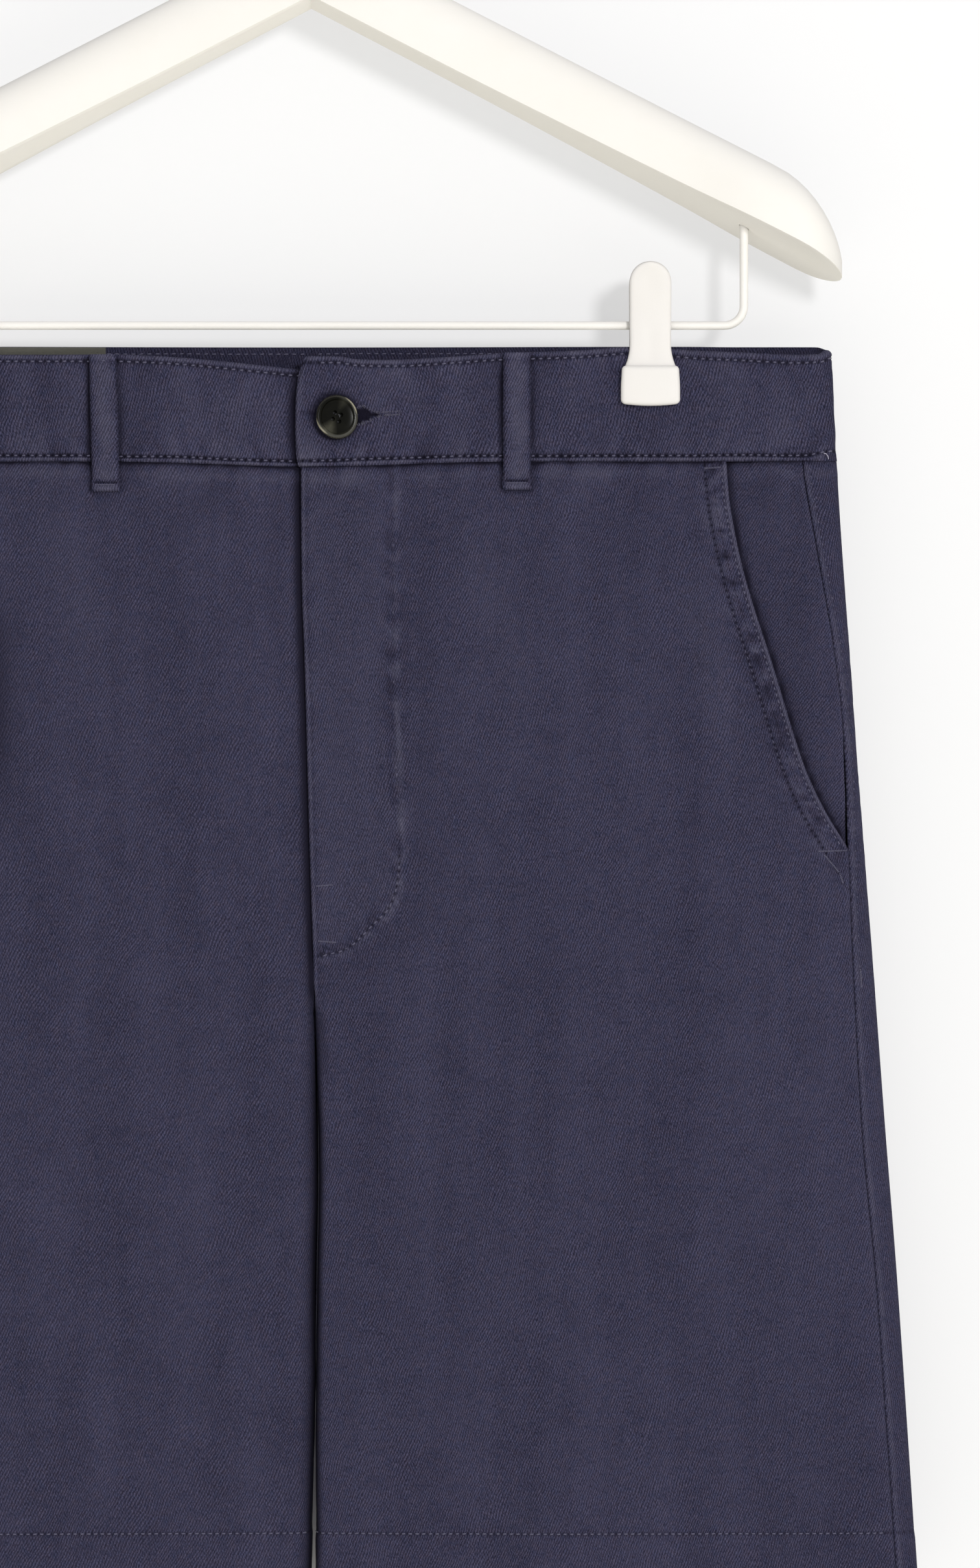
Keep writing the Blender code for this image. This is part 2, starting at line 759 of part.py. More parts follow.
def button(finish, group, guides):
    """A turned disc with a raised rim and four holes, on its thread shank."""
    face = surface("left", "front", BUTTON_X, BUTTON_DROP, BAND_PROUD)
    radius = BUTTON_ACROSS / 2
    profile = (  # (radius, height above the band), down the outer side
        (0.0, 2.5),
        (radius - 2.9, 2.5),
        (radius - 2.2, 2.9),
        (radius - 1.2, 3.3),
        (radius - 0.4, 3.1),
        (radius, 2.4),
        (radius - 0.3, 1.5),
        (radius - 2.4, 0.5),
        (0.0, 0.5),
    )
    bm = bmesh.new()
    verts = [bm.verts.new(place((r, 0, height))) for r, height in profile]
    for a, b in zip(verts, verts[1:]):
        bm.edges.new((a, b))
    mesh = bpy.data.meshes.new("button")
    bm.to_mesh(mesh)
    bm.free()
    disc = add("button", mesh, finish, group)
    turned = disc.modifiers.new("Turned", "SCREW")
    turned.steps = turned.render_steps = 28
    turned.use_merge_vertices = True
    turned.merge_threshold = 0.00001
    turned.use_normal_calculate = True
    disc.location = place(face)
    disc.rotation_euler = (math.pi / 2, 0, 0)
    for k in range(4):
        a = math.radians(45 + 90 * k)
        hole_at = face + Vector((1.75 * math.cos(a), -2, 1.75 * math.sin(a)))
        hole = cylinder(f"button_hole_{k}", hole_at, 0.7, 2.6, None, guides, "Y", sides=10)
        combine(disc, hole, "DIFFERENCE")
    shank_length = 0.8 + UNDERLAP_SINK - SEAM
    shank_at = face + Vector((0, shank_length / 2 - 0.8, 0))
    shank = cylinder("button_shank", shank_at, 1.1, shank_length, None, guides, "Y", sides=12)
    combine(disc, shank, "UNION")


def label(finish, group):
    """A bare woven label on the inside of the right back waistband."""
    behind_band = BAND_PROUD - BAND - 0.4
    rows = []
    for drop in steps(LABEL_TOP, LABEL_BOTTOM, 3):
        columns = steps(LABEL_OUTER_X, LABEL_INNER_X, 5)
        rows.append([surface("right", "back", x, drop, behind_band) for x in columns])
    cloth("label", rows, True, LABEL_THICK, finish, group)


def arm_section(x):
    """A ring round the hanger's arms: a flat underside that tilts back, and a rounded top."""
    away = abs(x)
    close_plan = math.sqrt(max(0.0004, 1 - clamp((away - 196) / (ARM_TIP - 196)) ** 2))
    close_top = math.sqrt(max(0.01, 1 - clamp((away - 188) / (ARM_TIP + 0.6 - 188)) ** 2))
    half = read(ARMS, "depth", away) / 2 * close_plan
    height = ARM_HEIGHT * close_top
    underside = read(ARMS, "underside", away)
    ring = []
    for k in range(11):
        a = math.pi * k / 10
        y = -half * math.cos(a)
        rise = height * math.sin(a) ** 0.55
        tilt = -0.15 * y
        ring.append(Vector((x, y, -HOOK_TO_WAIST + underside + tilt + rise)))
    ring.append(Vector((x, 0, -HOOK_TO_WAIST + underside)))
    return ring


def hanger_arms(finish, group, guides):
    places = [0, 22, 44, 66, 88, 110, 132, 152, 170, 184, 194, 201, 206, 210, 212.5, ARM_TIP]
    every_x = [-x for x in reversed(places[1:])] + places
    arms = loft("hanger_arms", [arm_section(x) for x in every_x], finish, group)
    boss_z = -HOOK_TO_WAIST + BOSS_TOP
    boss = cylinder("hanger_boss", (0, 0, boss_z - 11), 10.5, 22, None, guides, sides=28)
    combine(arms, boss, "UNION")
    for x in (-BAR_SIDE, BAR_SIDE):
        hole_z = -HOOK_TO_WAIST + read(ARMS, "underside", BAR_SIDE)
        hole = cylinder(f"bar_hole_{x:.0f}", (x, 0, hole_z), WIRE / 2 + SEAM, 24, None, guides)
        combine(arms, hole, "DIFFERENCE")
    socket = cylinder("hook_socket", (0, 0, boss_z), HOOK_WIRE / 2 + SEAM, 28, None, guides)
    combine(arms, socket, "DIFFERENCE")
    arms.data.shade_smooth()
    arms.data.set_sharp_from_angle(angle=math.radians(40))


def hanger_hook(finish, group):
    """A wire from its socket, out to one side and over the rail."""
    radius = HOOK_INSIDE + HOOK_WIRE / 2
    middle = (0.0, -HOOK_INSIDE)
    over = arc(middle, radius, -70, 205, 30)
    leave = math.radians(70)
    bend = radius * math.cos(leave) / (1 - math.cos(leave))
    foot_z = over[0][2] - bend * math.sin(leave)
    swing = arc((bend, foot_z), bend, 180, 110, 5)
    stem = [(0.0, 0.0, -HOOK_TO_WAIST + BOSS_TOP - 11), (0.0, 0.0, foot_z - 2)]
    wire("hanger_hook", stem + swing[:-1] + over, HOOK_WIRE, finish, group)


def hanger_bar(finish, group):
    """A wire trapeze: up into each arm, with a rounded bend at each lower corner."""
    level = -HOOK_TO_WAIST - BAR_DROP
    top = -HOOK_TO_WAIST + read(ARMS, "underside", BAR_SIDE) + 10
    corner = BAR_SIDE - BAR_BEND
    right = arc((-corner, level + BAR_BEND), BAR_BEND, 180, 270, 6)
    left = arc((corner, level + BAR_BEND), BAR_BEND, 270, 360, 6)
    points = [(-BAR_SIDE, 0.0, top)] + right + left + [(BAR_SIDE, 0.0, top)]
    wire("hanger_bar", points, WIRE, finish, group, sides=3)


def clip_jaw(side, face, finish, group, guides):
    outward = -1 if face == "front" else 1
    x = side_factor(side) * CLIP_X
    seat = PINCH + BAND_PROUD + SEAM
    rows = []
    for drop, half, stand_off in zip(*JAW.values()):
        y = outward * (stand_off + JAW_THICK)
        z = -HOOK_TO_WAIST - drop
        rows.append([Vector((at, y, z)) for at in steps(x - half, x + half, 4)])
    jaw = cloth(f"clip_{face}_{side}", rows, face == "back", JAW_THICK, finish, group)
    pad_middle = (PAD_TOP + PAD_BOTTOM) / 2
    pad = block(
        f"pad_{face}_{side}",
        (x, outward * (seat + PAD_THICK / 2), -HOOK_TO_WAIST - pad_middle),
        (PAD_ACROSS, PAD_THICK, PAD_BOTTOM - PAD_TOP),
        None,
        guides,
        bevel=1.4,
    )
    combine(jaw, pad, "UNION")
    edges = jaw.modifiers.new("Edges", "BEVEL")
    edges.width = 0.35 * MM
    edges.segments = 1
    edges.limit_method = "ANGLE"
    edges.angle_limit = math.radians(60)


def clip_spring(side, finish, group, guides):
    """A spring's coil round the bar, between the jaws."""
    at = (side_factor(side) * CLIP_X, 0, -HOOK_TO_WAIST - BAR_DROP)
    name = f"clip_spring_{side}"
    spring = cylinder(name, at, SPRING_RADIUS, SPRING_LENGTH, finish, group, "X", sides=20)
    hole = cylinder(f"spring_hole_{side}", at, WIRE / 2 + SEAM, 16, None, guides, "X", sides=16)
    combine(spring, hole, "DIFFERENCE")


def main():
    for old in list(bpy.data.objects):
        bpy.data.objects.remove(old)
    parts = collection("bermuda_shorts_on_hanger")
    guides = collection("cutters")

    twill = {
        name: material(name, NAVY, 0.92)
        for name in ("front_twill", "back_twill", "band_twill", "loop_twill", "facing_twill")
    }
    bag_cloth = material("pocketing", (0.30, 0.28, 0.30, 1), 0.9)
    for side in ("left", "right"):
        front_panel(side, twill["front_twill"], parts)
        back_panel(side, twill["back_twill"], parts)
        pocket_facing(side, twill["facing_twill"], parts)
        pocket_bag(side, bag_cloth, parts)
    buttonhole(waistband("left", twill["band_twill"], parts), guides)
    waistband("right", twill["band_twill"], parts)
    fly_shield(twill["facing_twill"], parts)
    zip_tape(material("zip_tape", (0.03, 0.03, 0.05, 1), 0.8), parts)
    zip_slider(material("zip_metal", (0.35, 0.33, 0.30, 1), 0.35, 1.0), parts, guides)
    button(material("horn", (0.035, 0.035, 0.028, 1), 0.3), parts, guides)
    label(material("label", (0.075, 0.072, 0.062, 1), 0.85), parts)

    for name, face, x in (
        ("belt_loop_front_left", "front", 83.0),
        ("belt_loop_front_right", "front", -83.0),
        ("belt_loop_back_left", "back", 106.0),
        ("belt_loop_back_centre", "back", 0.5),
        ("belt_loop_back_right", "back", -106.0),
    ):
        belt_loop(name, face, x, twill["loop_twill"], parts)

    plastic = material("white_plastic", WHITE, 0.45)
    coated = material("white_wire", WHITE, 0.4)
    steel = material("spring_steel", (0.6, 0.6, 0.6, 1), 0.3, 1.0)
    hanger_arms(plastic, parts, guides)
    hanger_hook(coated, parts)
    hanger_bar(coated, parts)
    for side in ("left", "right"):
        clip_spring(side, steel, parts, guides)
        for face in ("front", "back"):
            clip_jaw(side, face, plastic, parts, guides)


main()
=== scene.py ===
"""The looks of bermuda shorts on a clip hanger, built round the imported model.

Each piece of cloth is a thin closed shell on the flat-hung surface that its solid follows, with its
seams, puckers, folds, stitches and twill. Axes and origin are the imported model's: X to the wearer's
left, Y to the back, Z up, the origin inside the hook's top. A "drop" is a depth below the back
waistband's top edge, and a "sign" is 1 on the wearer's left and -1 on the right. Lengths are
millimetres until metres() turns them into metres.
"""

import math
from collections import namedtuple
from functools import partial

import bmesh
import bpy
import numpy as np
from mathutils import Matrix, Vector


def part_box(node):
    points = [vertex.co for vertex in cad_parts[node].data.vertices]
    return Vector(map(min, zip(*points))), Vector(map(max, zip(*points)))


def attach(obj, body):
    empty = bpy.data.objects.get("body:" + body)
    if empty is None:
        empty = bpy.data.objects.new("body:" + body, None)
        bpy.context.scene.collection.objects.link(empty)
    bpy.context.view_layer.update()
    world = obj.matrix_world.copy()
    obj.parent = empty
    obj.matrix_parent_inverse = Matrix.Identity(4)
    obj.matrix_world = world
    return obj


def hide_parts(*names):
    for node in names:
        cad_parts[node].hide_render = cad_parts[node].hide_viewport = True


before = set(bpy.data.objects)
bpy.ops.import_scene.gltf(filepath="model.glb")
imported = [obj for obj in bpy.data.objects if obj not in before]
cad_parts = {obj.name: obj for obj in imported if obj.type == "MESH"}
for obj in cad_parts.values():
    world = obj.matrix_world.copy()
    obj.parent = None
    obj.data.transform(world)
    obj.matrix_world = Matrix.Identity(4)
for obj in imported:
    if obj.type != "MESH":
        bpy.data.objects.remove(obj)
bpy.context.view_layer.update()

SIDES = {1: "left", -1: "right"}

# ---- the garment's sizes, as in the part's source ----
HOOK_TO_WAIST = 240.0
CROTCH = 268.0
HEM = 505.0
HEM_DEPTH = 30.0
BAND_SEAM = 46.4
BAND_SAG = 2.4
CLOTH = 1.2
BAND = 2.8
SEAM = 0.3
BAND_PROUD = 0.6
WAIST_BOW = (8.6, 5.0)  # front, back
SIDE_BOW = 3.4
HIP_DEPTH = (14.0, 16.0)
LEG_DEPTH = (16.5, 17.5)
CROTCH_RISE = (14.0, 15.5)
CLIP_X = 136.6
CLIP_MIDDLE = {1: CLIP_X, -1: -CLIP_X - 0.8}
PINCH = 3.0
FLAT_BESIDE_CLIP = 13.0
INSEAM_ROLL = 8.0
INSEAM_APART = 0.35
LAP = 6.0
LAP_SINK = 1.7
FLY_BOTTOM = 240.0
FLY_CURVE = 205.0
UNDERLAP = 38.0
UNDERLAP_SINK = 3.2
BUTTON_X = 10.4
BUTTON_DROP = 28.3
BUTTON_ACROSS = 17.8
LOOP_HALF = 5.6
LOOP_LENGTH = 55.0
LOOP_THICK = 1.6
LOOP_BOW = 1.4
POCKET_BOTTOM = 202.0
BAG_CLOTH = 1.0
BAG_SINK = CLOTH + 0.6
BAG_BOTTOM = 238.0
FACING_SINK = BAG_SINK + BAG_CLOTH + SEAM
FACING_HIDDEN = 28.0
WIRE = 3.4
BAR_DROP = -8.5
BAR_SIDE = 174.4
BAR_BEND = 8.0
HOOK_WIRE = 4.0
HOOK_INSIDE = 19.0
HOOK_LEAVES, HOOK_END = 70.0, 205.0  # degrees round the hook, below and past its right side
ARM_TIP = 213.9
ARM_HEIGHT = 30.0
PLAN_CLOSES, TOP_CLOSES = 196.0, 188.0  # where the arms' tips begin to round
ARM_TILT = 0.21
BOSS_TOP = 183.0
JAW_THICK = 2.4
JAW_BOTTOM = 9.6
TAB_HALF = 8.35
THUMB_DROP = -24.5
PAD_ACROSS = 23.8
PAD_TOP = 8.0
PAD_BOTTOM = 23.2
PAD_THICK = 5.4

CLOSE = 0.06  # between two pieces sewn edge to edge
PITCH = 2.7  # from one stitch to the next
BAND_PITCH = 3.25
FLY_PITCH = 3.1
THREAD = 0.29  # the thread's radius
TACK = {"pitch": 0.62, "length": 0.58}
HEM_ROW = HEM - 28.0
HEM_THICK = 2.2
LABEL_THICK = 0.55
SIDE_ROW = 2.6  # from the side seam to its row of stitches
SIDE_ROW_END = 252.0
LABEL_ROWS = (2.2, 36.0)
FRONT_ANCHOR, BACK_ANCHOR = 60, 70  # the columns of a panel that its weave is laid from
BACK_RUN, BAND_RUN = 440, 431  # how far round the middle of the back is, for the weave
BUTTON_TILT = 22.0
BUTTON_LEAN = 11.0  # of the axis it is tilted about, from upright
HOLE_TURN, HOLE_OUT = 27.0, 1.95  # the first hole's angle, and each one's distance from the middle
BUTTON_SHIFT = (0.2, 0.0, -0.6)


def table(names, *rows):
    """Rows of numbers under named columns; the first column is where the others are read."""
    return {name: np.array(column) for name, column in zip(names.split(), zip(*rows))}


OUTLINE = table(
    "drop half_width side_seam side_roll",
    (0, 209.1, 196.5, 9), (48, 211.8, 197.9, 10), (80, 213.8, 203.2, 14), (125, 217.1, 211.0, 16),
    (165, 219.9, 215.2, 16), (205, 223.0, 216.5, 16), (252, 226.6, 218.2, 16),
    (315, 231.3, 221.6, 17), (377, 236.2, 227.3, 18), (505, 244.8, 236.3, 20),
)
CENTRE = table(
    "drop x", (0, -3.8), (90, -3.6), (130, -2.3), (203, -0.3), (243, 1.0), (303, 2.6), (335, 3.1),
    (375, 2.3), (505, 1.0),
)
OVERLAP_END = table("drop x", (4, -0.5), (9, -3.6), (15, -5.2), (24, -6.0), (42, -5.7), (50, -3.6))
POCKET_EDGE = table(
    "drop x", (46, 167.0), (66, 168.9), (94, 174.9), (129, 185.9), (167, 197.7), (185, 205.7),
    (202, 216.2),
)
LEFT_BAND_TOP = table(
    "x drop", (-6, 4.4), (12, 4.4), (18, 5.5), (35, 5.7), (57, 4.4), (77, 2.9), (109, 1.6),
    (127, 0.2), (142, 0.7), (157, 1.8), (174, 2.6), (195, 3.5), (205, 3.2),
)
RIGHT_BAND_TOP = table(
    "x drop", (-207, 3.7), (-187, 4.4), (-150, 3.4), (-91, 3.4), (-77, 3.4), (-50, 5.0), (-21, 7.8),
    (-3, 9.4), (38, 10.2),
)
J_STITCH = table(
    "drop x", (47, 33.7), (74, 33.2), (107, 33.2), (140, 33.7), (171, 34.5), (196, 35.8),
    (215, 35.0), (226, 31.6), (232, 25.8), (240, 17.8), (243, 13.4), (245.5, 3.6),
)
ARMS = table(
    "x underside depth",
    (0, 138.0, 18), (60, 106.9, 20), (110, 81.0, 26), (151, 59.7, 33), (180, 44.6, 42), (214, 27.0, 43),
)
JAW = table(
    "drop half_width stand_off",
    (-33.7, 2.2, 8.2), (-33.0, 4.4, 8.1), (-31.2, 6.5, 7.8), (-28.5, 7.9, 7.3), (-25.4, 8.35, 6.8),
    (-15.0, 8.35, 5.0), (-8.5, 8.35, 4.4), (0.8, 8.35, 4.2), (5.0, 9.1, 4.2), (8.4, 10.3, 4.2),
)
# Long soft folds: on the back or not, x at the top and bottom of the run, the run's first and last
# drop, the half width, and how far the fold stands out (a trough where that is below 0).
FOLDS = (
    (0, 92, 98, 170, 560, 20, 1.5), (0, 150, 172, 230, 560, 16, -1.2), (0, 52, 38, 250, 540, 15, 1.1),
    (0, 60, 84, 40, 190, 18, -0.9), (0, -118, -126, 120, 560, 18, 1.6), (0, -66, -50, 210, 540, 16, -1.1),
    (0, -168, -186, 240, 560, 15, 1.0), (0, -58, -80, 40, 200, 17, -0.8), (1, 118, 104, 60, 540, 22, 2.0),
    (1, 62, 74, 200, 560, 17, -1.4), (1, 170, 188, 220, 560, 16, 1.2), (1, -108, -120, 60, 540, 23, 1.9),
    (1, -58, -66, 220, 560, 16, -1.3), (1, -172, -180, 200, 560, 17, 1.1),
)
# Creases, each a soft line: on the back or not, x and drop of one end and of the
# other, the half width, and how far it stands out.
CREASES = (
    (0, 1, 51.5, 30, 56.5, 2.6, 0.55), (0, 3, 56, 27, 60.5, 2.2, -0.22), (0, 38, 52, 62, 55, 2.4, 0.32),
    (0, 96, 51, 140, 50.5, 2.2, 0.30), (0, -16, 56, -13, 128, 4.5, -0.45), (0, -9, 60, -8, 150, 2.2, 0.28),
    (0, -30, 50, -62, 53, 2.4, 0.35), (0, -30, 58, -66, 74, 7.0, -0.30), (0, 41, 100, 39, 190, 2.0, 0.30),
    (0, 6, 258, 5, 284, 1.4, 0.50), (0, 12, 262, 30, 288, 4.0, -0.30), (0, -6, 264, -28, 292, 4.5, -0.32),
    (0, 14, 276, 44, 330, 6.0, 0.28), (0, 150, 90, 172, 170, 7.0, 0.35), (0, -150, 92, -171, 168, 7.0, 0.32),
    (0, 62, 70, 88, 150, 9.0, 0.25), (0, -104, 64, -84, 140, 9.0, 0.25), (1, 8, 62, 70, 96, 8.0, -0.55),
    (1, -8, 66, -74, 104, 8.5, -0.55), (1, 10, 240, 66, 300, 7.0, -0.70), (1, -10, 244, -62, 306, 7.0, -0.65),
    (1, 16, 256, 84, 286, 6.0, 0.50), (1, -14, 258, -80, 284, 6.0, 0.48), (1, 24, 60, 60, 64, 3.0, 0.35),
    (1, -36, 58, -84, 63, 3.0, 0.35), (1, 120, 56, 168, 60, 3.2, 0.32), (1, -128, 57, -176, 61, 3.2, 0.30),
    (1, 60, 130, 120, 150, 9.0, 0.40), (1, -52, 136, -116, 160, 9.0, 0.38),
    (0, -128, 92, -127, 196, 8.5, -0.55),
)
RIGHT_TROUGH_X = -127.5  # the darker trough at the photo's left edge
# Short dense rows that hold a corner, as (x, drop) of their ends.
POCKET_TACKS = (
    ((158.2, 49.2), (165.4, 48.8)), ((204.0, 203.2), (215.6, 202.9)),
    ((206.3, 204.6), (212.6, 212.0)), ((212.6, 212.0), (214.0, 216.4)),
)
FLY_TACKS = (((2.3, 217.2), (9.2, 216.6)), ((3.0, 239.2), (10.8, 239.8)))
FACING_PINCH = ((184, 47.5), (193, 51.4), (199, 57.4), (201.5, 66))
# Each belt loop: its node, on the back or not, and its x.
LOOPS = (
    ("belt_loop_front_left", 0, 83.0),
    ("belt_loop_front_right", 0, -83.0),
    ("belt_loop_back_left", 1, 106.0),
    ("belt_loop_back_centre", 1, 0.5),
    ("belt_loop_back_right", 1, -106.0),
)


# ---- small sums, on numbers or arrays ----
def metres(points):
    return np.asarray(points, float) * 0.001


def clamp(value, low=0.0, high=1.0):
    return np.clip(value, low, high)


def smooth(value, start=0.0, end=1.0):
    t = clamp((value - start) / (end - start))
    return t * t * (3 - 2 * t)


def fade(value, start, end):
    """1 up to the start, falling to 0 at the end."""
    return 1 - smooth(value, start, end)


def mix(a, b, t):
    return a + (b - a) * t


def bump(away, half):
    """1 on a line and fading to 0 beside it."""
    return np.exp(-((away / half) ** 2))


def unit(vectors):
    return vectors / np.maximum(np.linalg.norm(vectors, axis=-1, keepdims=True), 1e-12)


def reader(rows, column):
    """A function that reads a column of a table at any place, along a smooth curve through its rows."""
    keys, values = (part.astype(float) for part in (list(rows.values())[0], rows[column]))
    k = np.arange(len(keys))
    before, after = np.maximum(k - 1, 0), np.minimum(k + 1, len(keys) - 1)
    slopes = (values[after] - values[before]) / (keys[after] - keys[before])

    def read(at):
        at = clamp(at, keys[0], keys[-1])
        i = clamp(np.searchsorted(keys, at, side="right") - 1, 0, len(keys) - 2)
        span = keys[i + 1] - keys[i]
        t = (at - keys[i]) / span
        start = values[i] * (2 * t**3 - 3 * t**2 + 1) + slopes[i] * span * (t**3 - 2 * t**2 + t)
        return start + values[i + 1] * (3 * t**2 - 2 * t**3) + slopes[i + 1] * span * (t**3 - t**2)

    return read


half_width, side_seam, side_roll = (
    reader(OUTLINE, name) for name in ("half_width", "side_seam", "side_roll")
)
centre, overlap_end, pocket_edge, fly_row = (
    reader(rows, "x") for rows in (CENTRE, OVERLAP_END, POCKET_EDGE, J_STITCH)
)
left_band_top, right_band_top = reader(LEFT_BAND_TOP, "drop"), reader(RIGHT_BAND_TOP, "drop")
arm_underside, arm_depth = reader(ARMS, "underside"), reader(ARMS, "depth")


def noise(x, y, seed):
    """Smooth noise from -1 to 1, one bump to a unit."""
    side = 64
    lattice = np.random.default_rng(seed).uniform(-1, 1, (side, side))
    x, y = np.broadcast_arrays(x, y)
    x, y = 0.82 * x + 0.57 * y, 0.82 * y - 0.57 * x
    x0, y0 = np.floor(x).astype(int), np.floor(y).astype(int)
    tx, ty = smooth(x - x0), smooth(y - y0)
    low, high = (
        mix(lattice[x0 % side, row % side], lattice[(x0 + 1) % side, row % side], tx) for row in (y0, y0 + 1)
    )
    return mix(low, high, ty)


def ripple(along, length, seed, away=0.0, lean=0.0):
    """Uneven puckers along a seam, each about this long, leaning as they leave it."""
    along = along + lean * away
    slow = noise(along / length * 2, away / 11 + seed, seed)
    return 0.68 * slow + 0.32 * noise(along / length * 4.6, away / 6 + 0.5, seed + 1)


def spread(start, end, near_start, near_end, step):
    """Columns between two places: at the given distances from each, and evenly in the middle."""
    start, end = np.atleast_1d(start)[:, None], np.atleast_1d(end)[:, None]
    way = np.sign(np.mean(end - start))
    first = start + way * np.array(near_start, float)
    last = end - way * np.array(near_end, float)[::-1]
    middle = np.abs(np.mean(last[:, :1] - first[:, -1:]))
    t = np.linspace(0, 1, max(2, int(middle / step) + 1))[1:-1]
    return np.concatenate([first, first[:, -1:] + (last[:, :1] - first[:, -1:]) * t, last], axis=1)


def line_of(x, drop):
    return np.stack([x, drop], axis=1)


def run_of(path):
    """How far along a path each of its points is."""
    return np.concatenate([[0], np.cumsum(np.linalg.norm(np.diff(path, axis=0), axis=1))])


def along_line(points, spacing=0.4):
    """A line's points taken at an even spacing."""
    points = np.asarray(points, float)
    run = run_of(points)
    at = np.linspace(0, run[-1], max(2, int(run[-1] / spacing) + 1))
    return np.stack([np.interp(at, run, column) for column in points.T], axis=1)


def nearest(line, x, drop):
    """Signed distance from a line on the surface, and how far along it the nearest point is."""
    line = np.asarray(line, float)
    best = np.full(np.shape(x), 1e9)
    signed, along = np.zeros(np.shape(x)), np.zeros(np.shape(x))
    travelled = 0.0
    for (ax, ad), (bx, bd) in zip(line, line[1:]):
        length = math.hypot(bx - ax, bd - ad)
        tx, td = (bx - ax) / length, (bd - ad) / length
        s = clamp((x - ax) * tx + (drop - ad) * td, 0, length)
        off_x, off_d = x - ax - s * tx, drop - ad - s * td
        distance = np.hypot(off_x, off_d)
        closer = distance < best
        best = np.where(closer, distance, best)
        signed = np.where(closer, distance * np.where(off_x * td - off_d * tx >= 0, 1.0, -1.0), signed)
        along = np.where(closer, travelled + s, along)
        travelled += length
    return signed, along


# ---- the garment's surface, as in the part's source ----
def by_face(pair, back):
    return np.where(back, pair[1], pair[0])


def leg_gap(drop):
    sewn = mix(CLOSE / 2, SEAM / 2, smooth(drop, CROTCH + 6, CROTCH + 24))
    meeting = smooth(drop, CROTCH - 18, CROTCH - 10) * fade(drop, CROTCH + 4, CROTCH + 14)
    sewn = sewn - 0.16 * meeting  # where four edges meet they press together, so no light shows
    return sewn + 0.9 * smooth(drop, HEM - 90, HEM)


def waist_depth(back, x):
    beside = np.abs(x) - CLIP_X
    half_span = CLIP_X - FLAT_BESIDE_CLIP
    middle = by_face(WAIST_BOW, back) * clamp(1 - (x / half_span) ** 2) ** 1.4
    side = SIDE_BOW * smooth(beside, FLAT_BESIDE_CLIP, 2.6 * FLAT_BESIDE_CLIP)
    return PINCH + np.where(beside < -FLAT_BESIDE_CLIP, middle, side)


def fold_depth(back, x, drop):
    total = 0.0
    for on_back, top_x, bottom_x, first, last, half, out in FOLDS:
        run = clamp((drop - first) / (last - first))
        here = out * bump(x - mix(top_x, bottom_x, run), half) * np.sin(np.pi * run) ** 0.6
        total = total + np.where(back == on_back, here, 0.0)
    return total


def depth_from_middle(back, x, drop):
    hip = by_face(HIP_DEPTH, back) - 2.5 * (x / 215) ** 2
    leg = by_face(LEG_DEPTH, back) - 4.0 * ((np.abs(x) - 118) / 110) ** 2
    body = mix(waist_depth(back, x), hip, smooth(drop, 25, 132) ** 0.6)
    return mix(body, leg, smooth(drop, 215, 420)) + fold_depth(back, x, drop)


def quarter(t):
    """The round of a fold: 0 at its edge and 1 where the cloth is flat again."""
    return np.sqrt(clamp(1 - (1 - clamp(t)) ** 2))


def groove(back, sign, x, drop):
    rise = by_face(CROTCH_RISE, back)
    split = clamp((drop - (CROTCH - rise)) / rise)
    inner = sign * (x - centre(drop)) - leg_gap(drop)
    roll = INSEAM_ROLL * np.where(back, 1.0, 0.4 if sign > 0 else 1.0)
    return np.sqrt(clamp(1 - (split * (1 - clamp(inner / roll))) ** 2))


def surface(sign, back, x, drop, proud=0.0):
    """Points of the garment's outer face, or proud of it."""
    x, drop = np.broadcast_arrays(np.asarray(x, float), np.asarray(drop, float))
    outer = half_width(drop) + proud - np.abs(x)
    depth = depth_from_middle(back, x, drop) + proud
    depth = depth * quarter(outer / side_roll(drop)) * groove(back, sign, x, drop)
    depth = np.where(np.abs(x) < CLIP_X, np.maximum(depth, INSEAM_APART), depth)
    return np.stack([x, np.where(back, depth, -depth), -HOOK_TO_WAIST - drop], axis=-1)


def band_seam(x):
    return BAND_SEAM + BAND_SAG * bump(x, 52)


def sagged(x, drop):
    return drop + (band_seam(x) - BAND_SEAM) * fade(drop, 47, 110)


def lap_sink(x, drop):
    near = smooth(x, centre(drop) - 28, centre(drop) - 2)
    sink = mix(UNDERLAP_SINK - 0.2, LAP_SINK, smooth(drop, 48, 92))
    return sink * near * fade(drop, FLY_BOTTOM + 2, FLY_BOTTOM + 12)


def band_top(sign, back, x):
    to_side = smooth(np.abs(x), 205.0, 210.5)
    front = (left_band_top if sign > 0 else right_band_top)(x)
    return np.where(back, 1.3 * to_side, mix(front, 1.3, to_side))


def band_bottom(back, x):
    return np.where(back, BAND_SEAM, band_seam(x)) - CLOSE


# ---- meshes ----
def link(name, data):
    made = bpy.data.objects.new(name, data)
    bpy.context.scene.collection.objects.link(made)
    return made


def keep(made, slot, *replaced):
    """The piece rides with the part, and stands for the CAD nodes that it replaces."""
    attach(made, "root")
    if replaced:
        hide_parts(*replaced)


def shade(mesh, sharp):
    mesh.shade_smooth()
    mesh.set_sharp_from_angle(angle=math.radians(sharp))


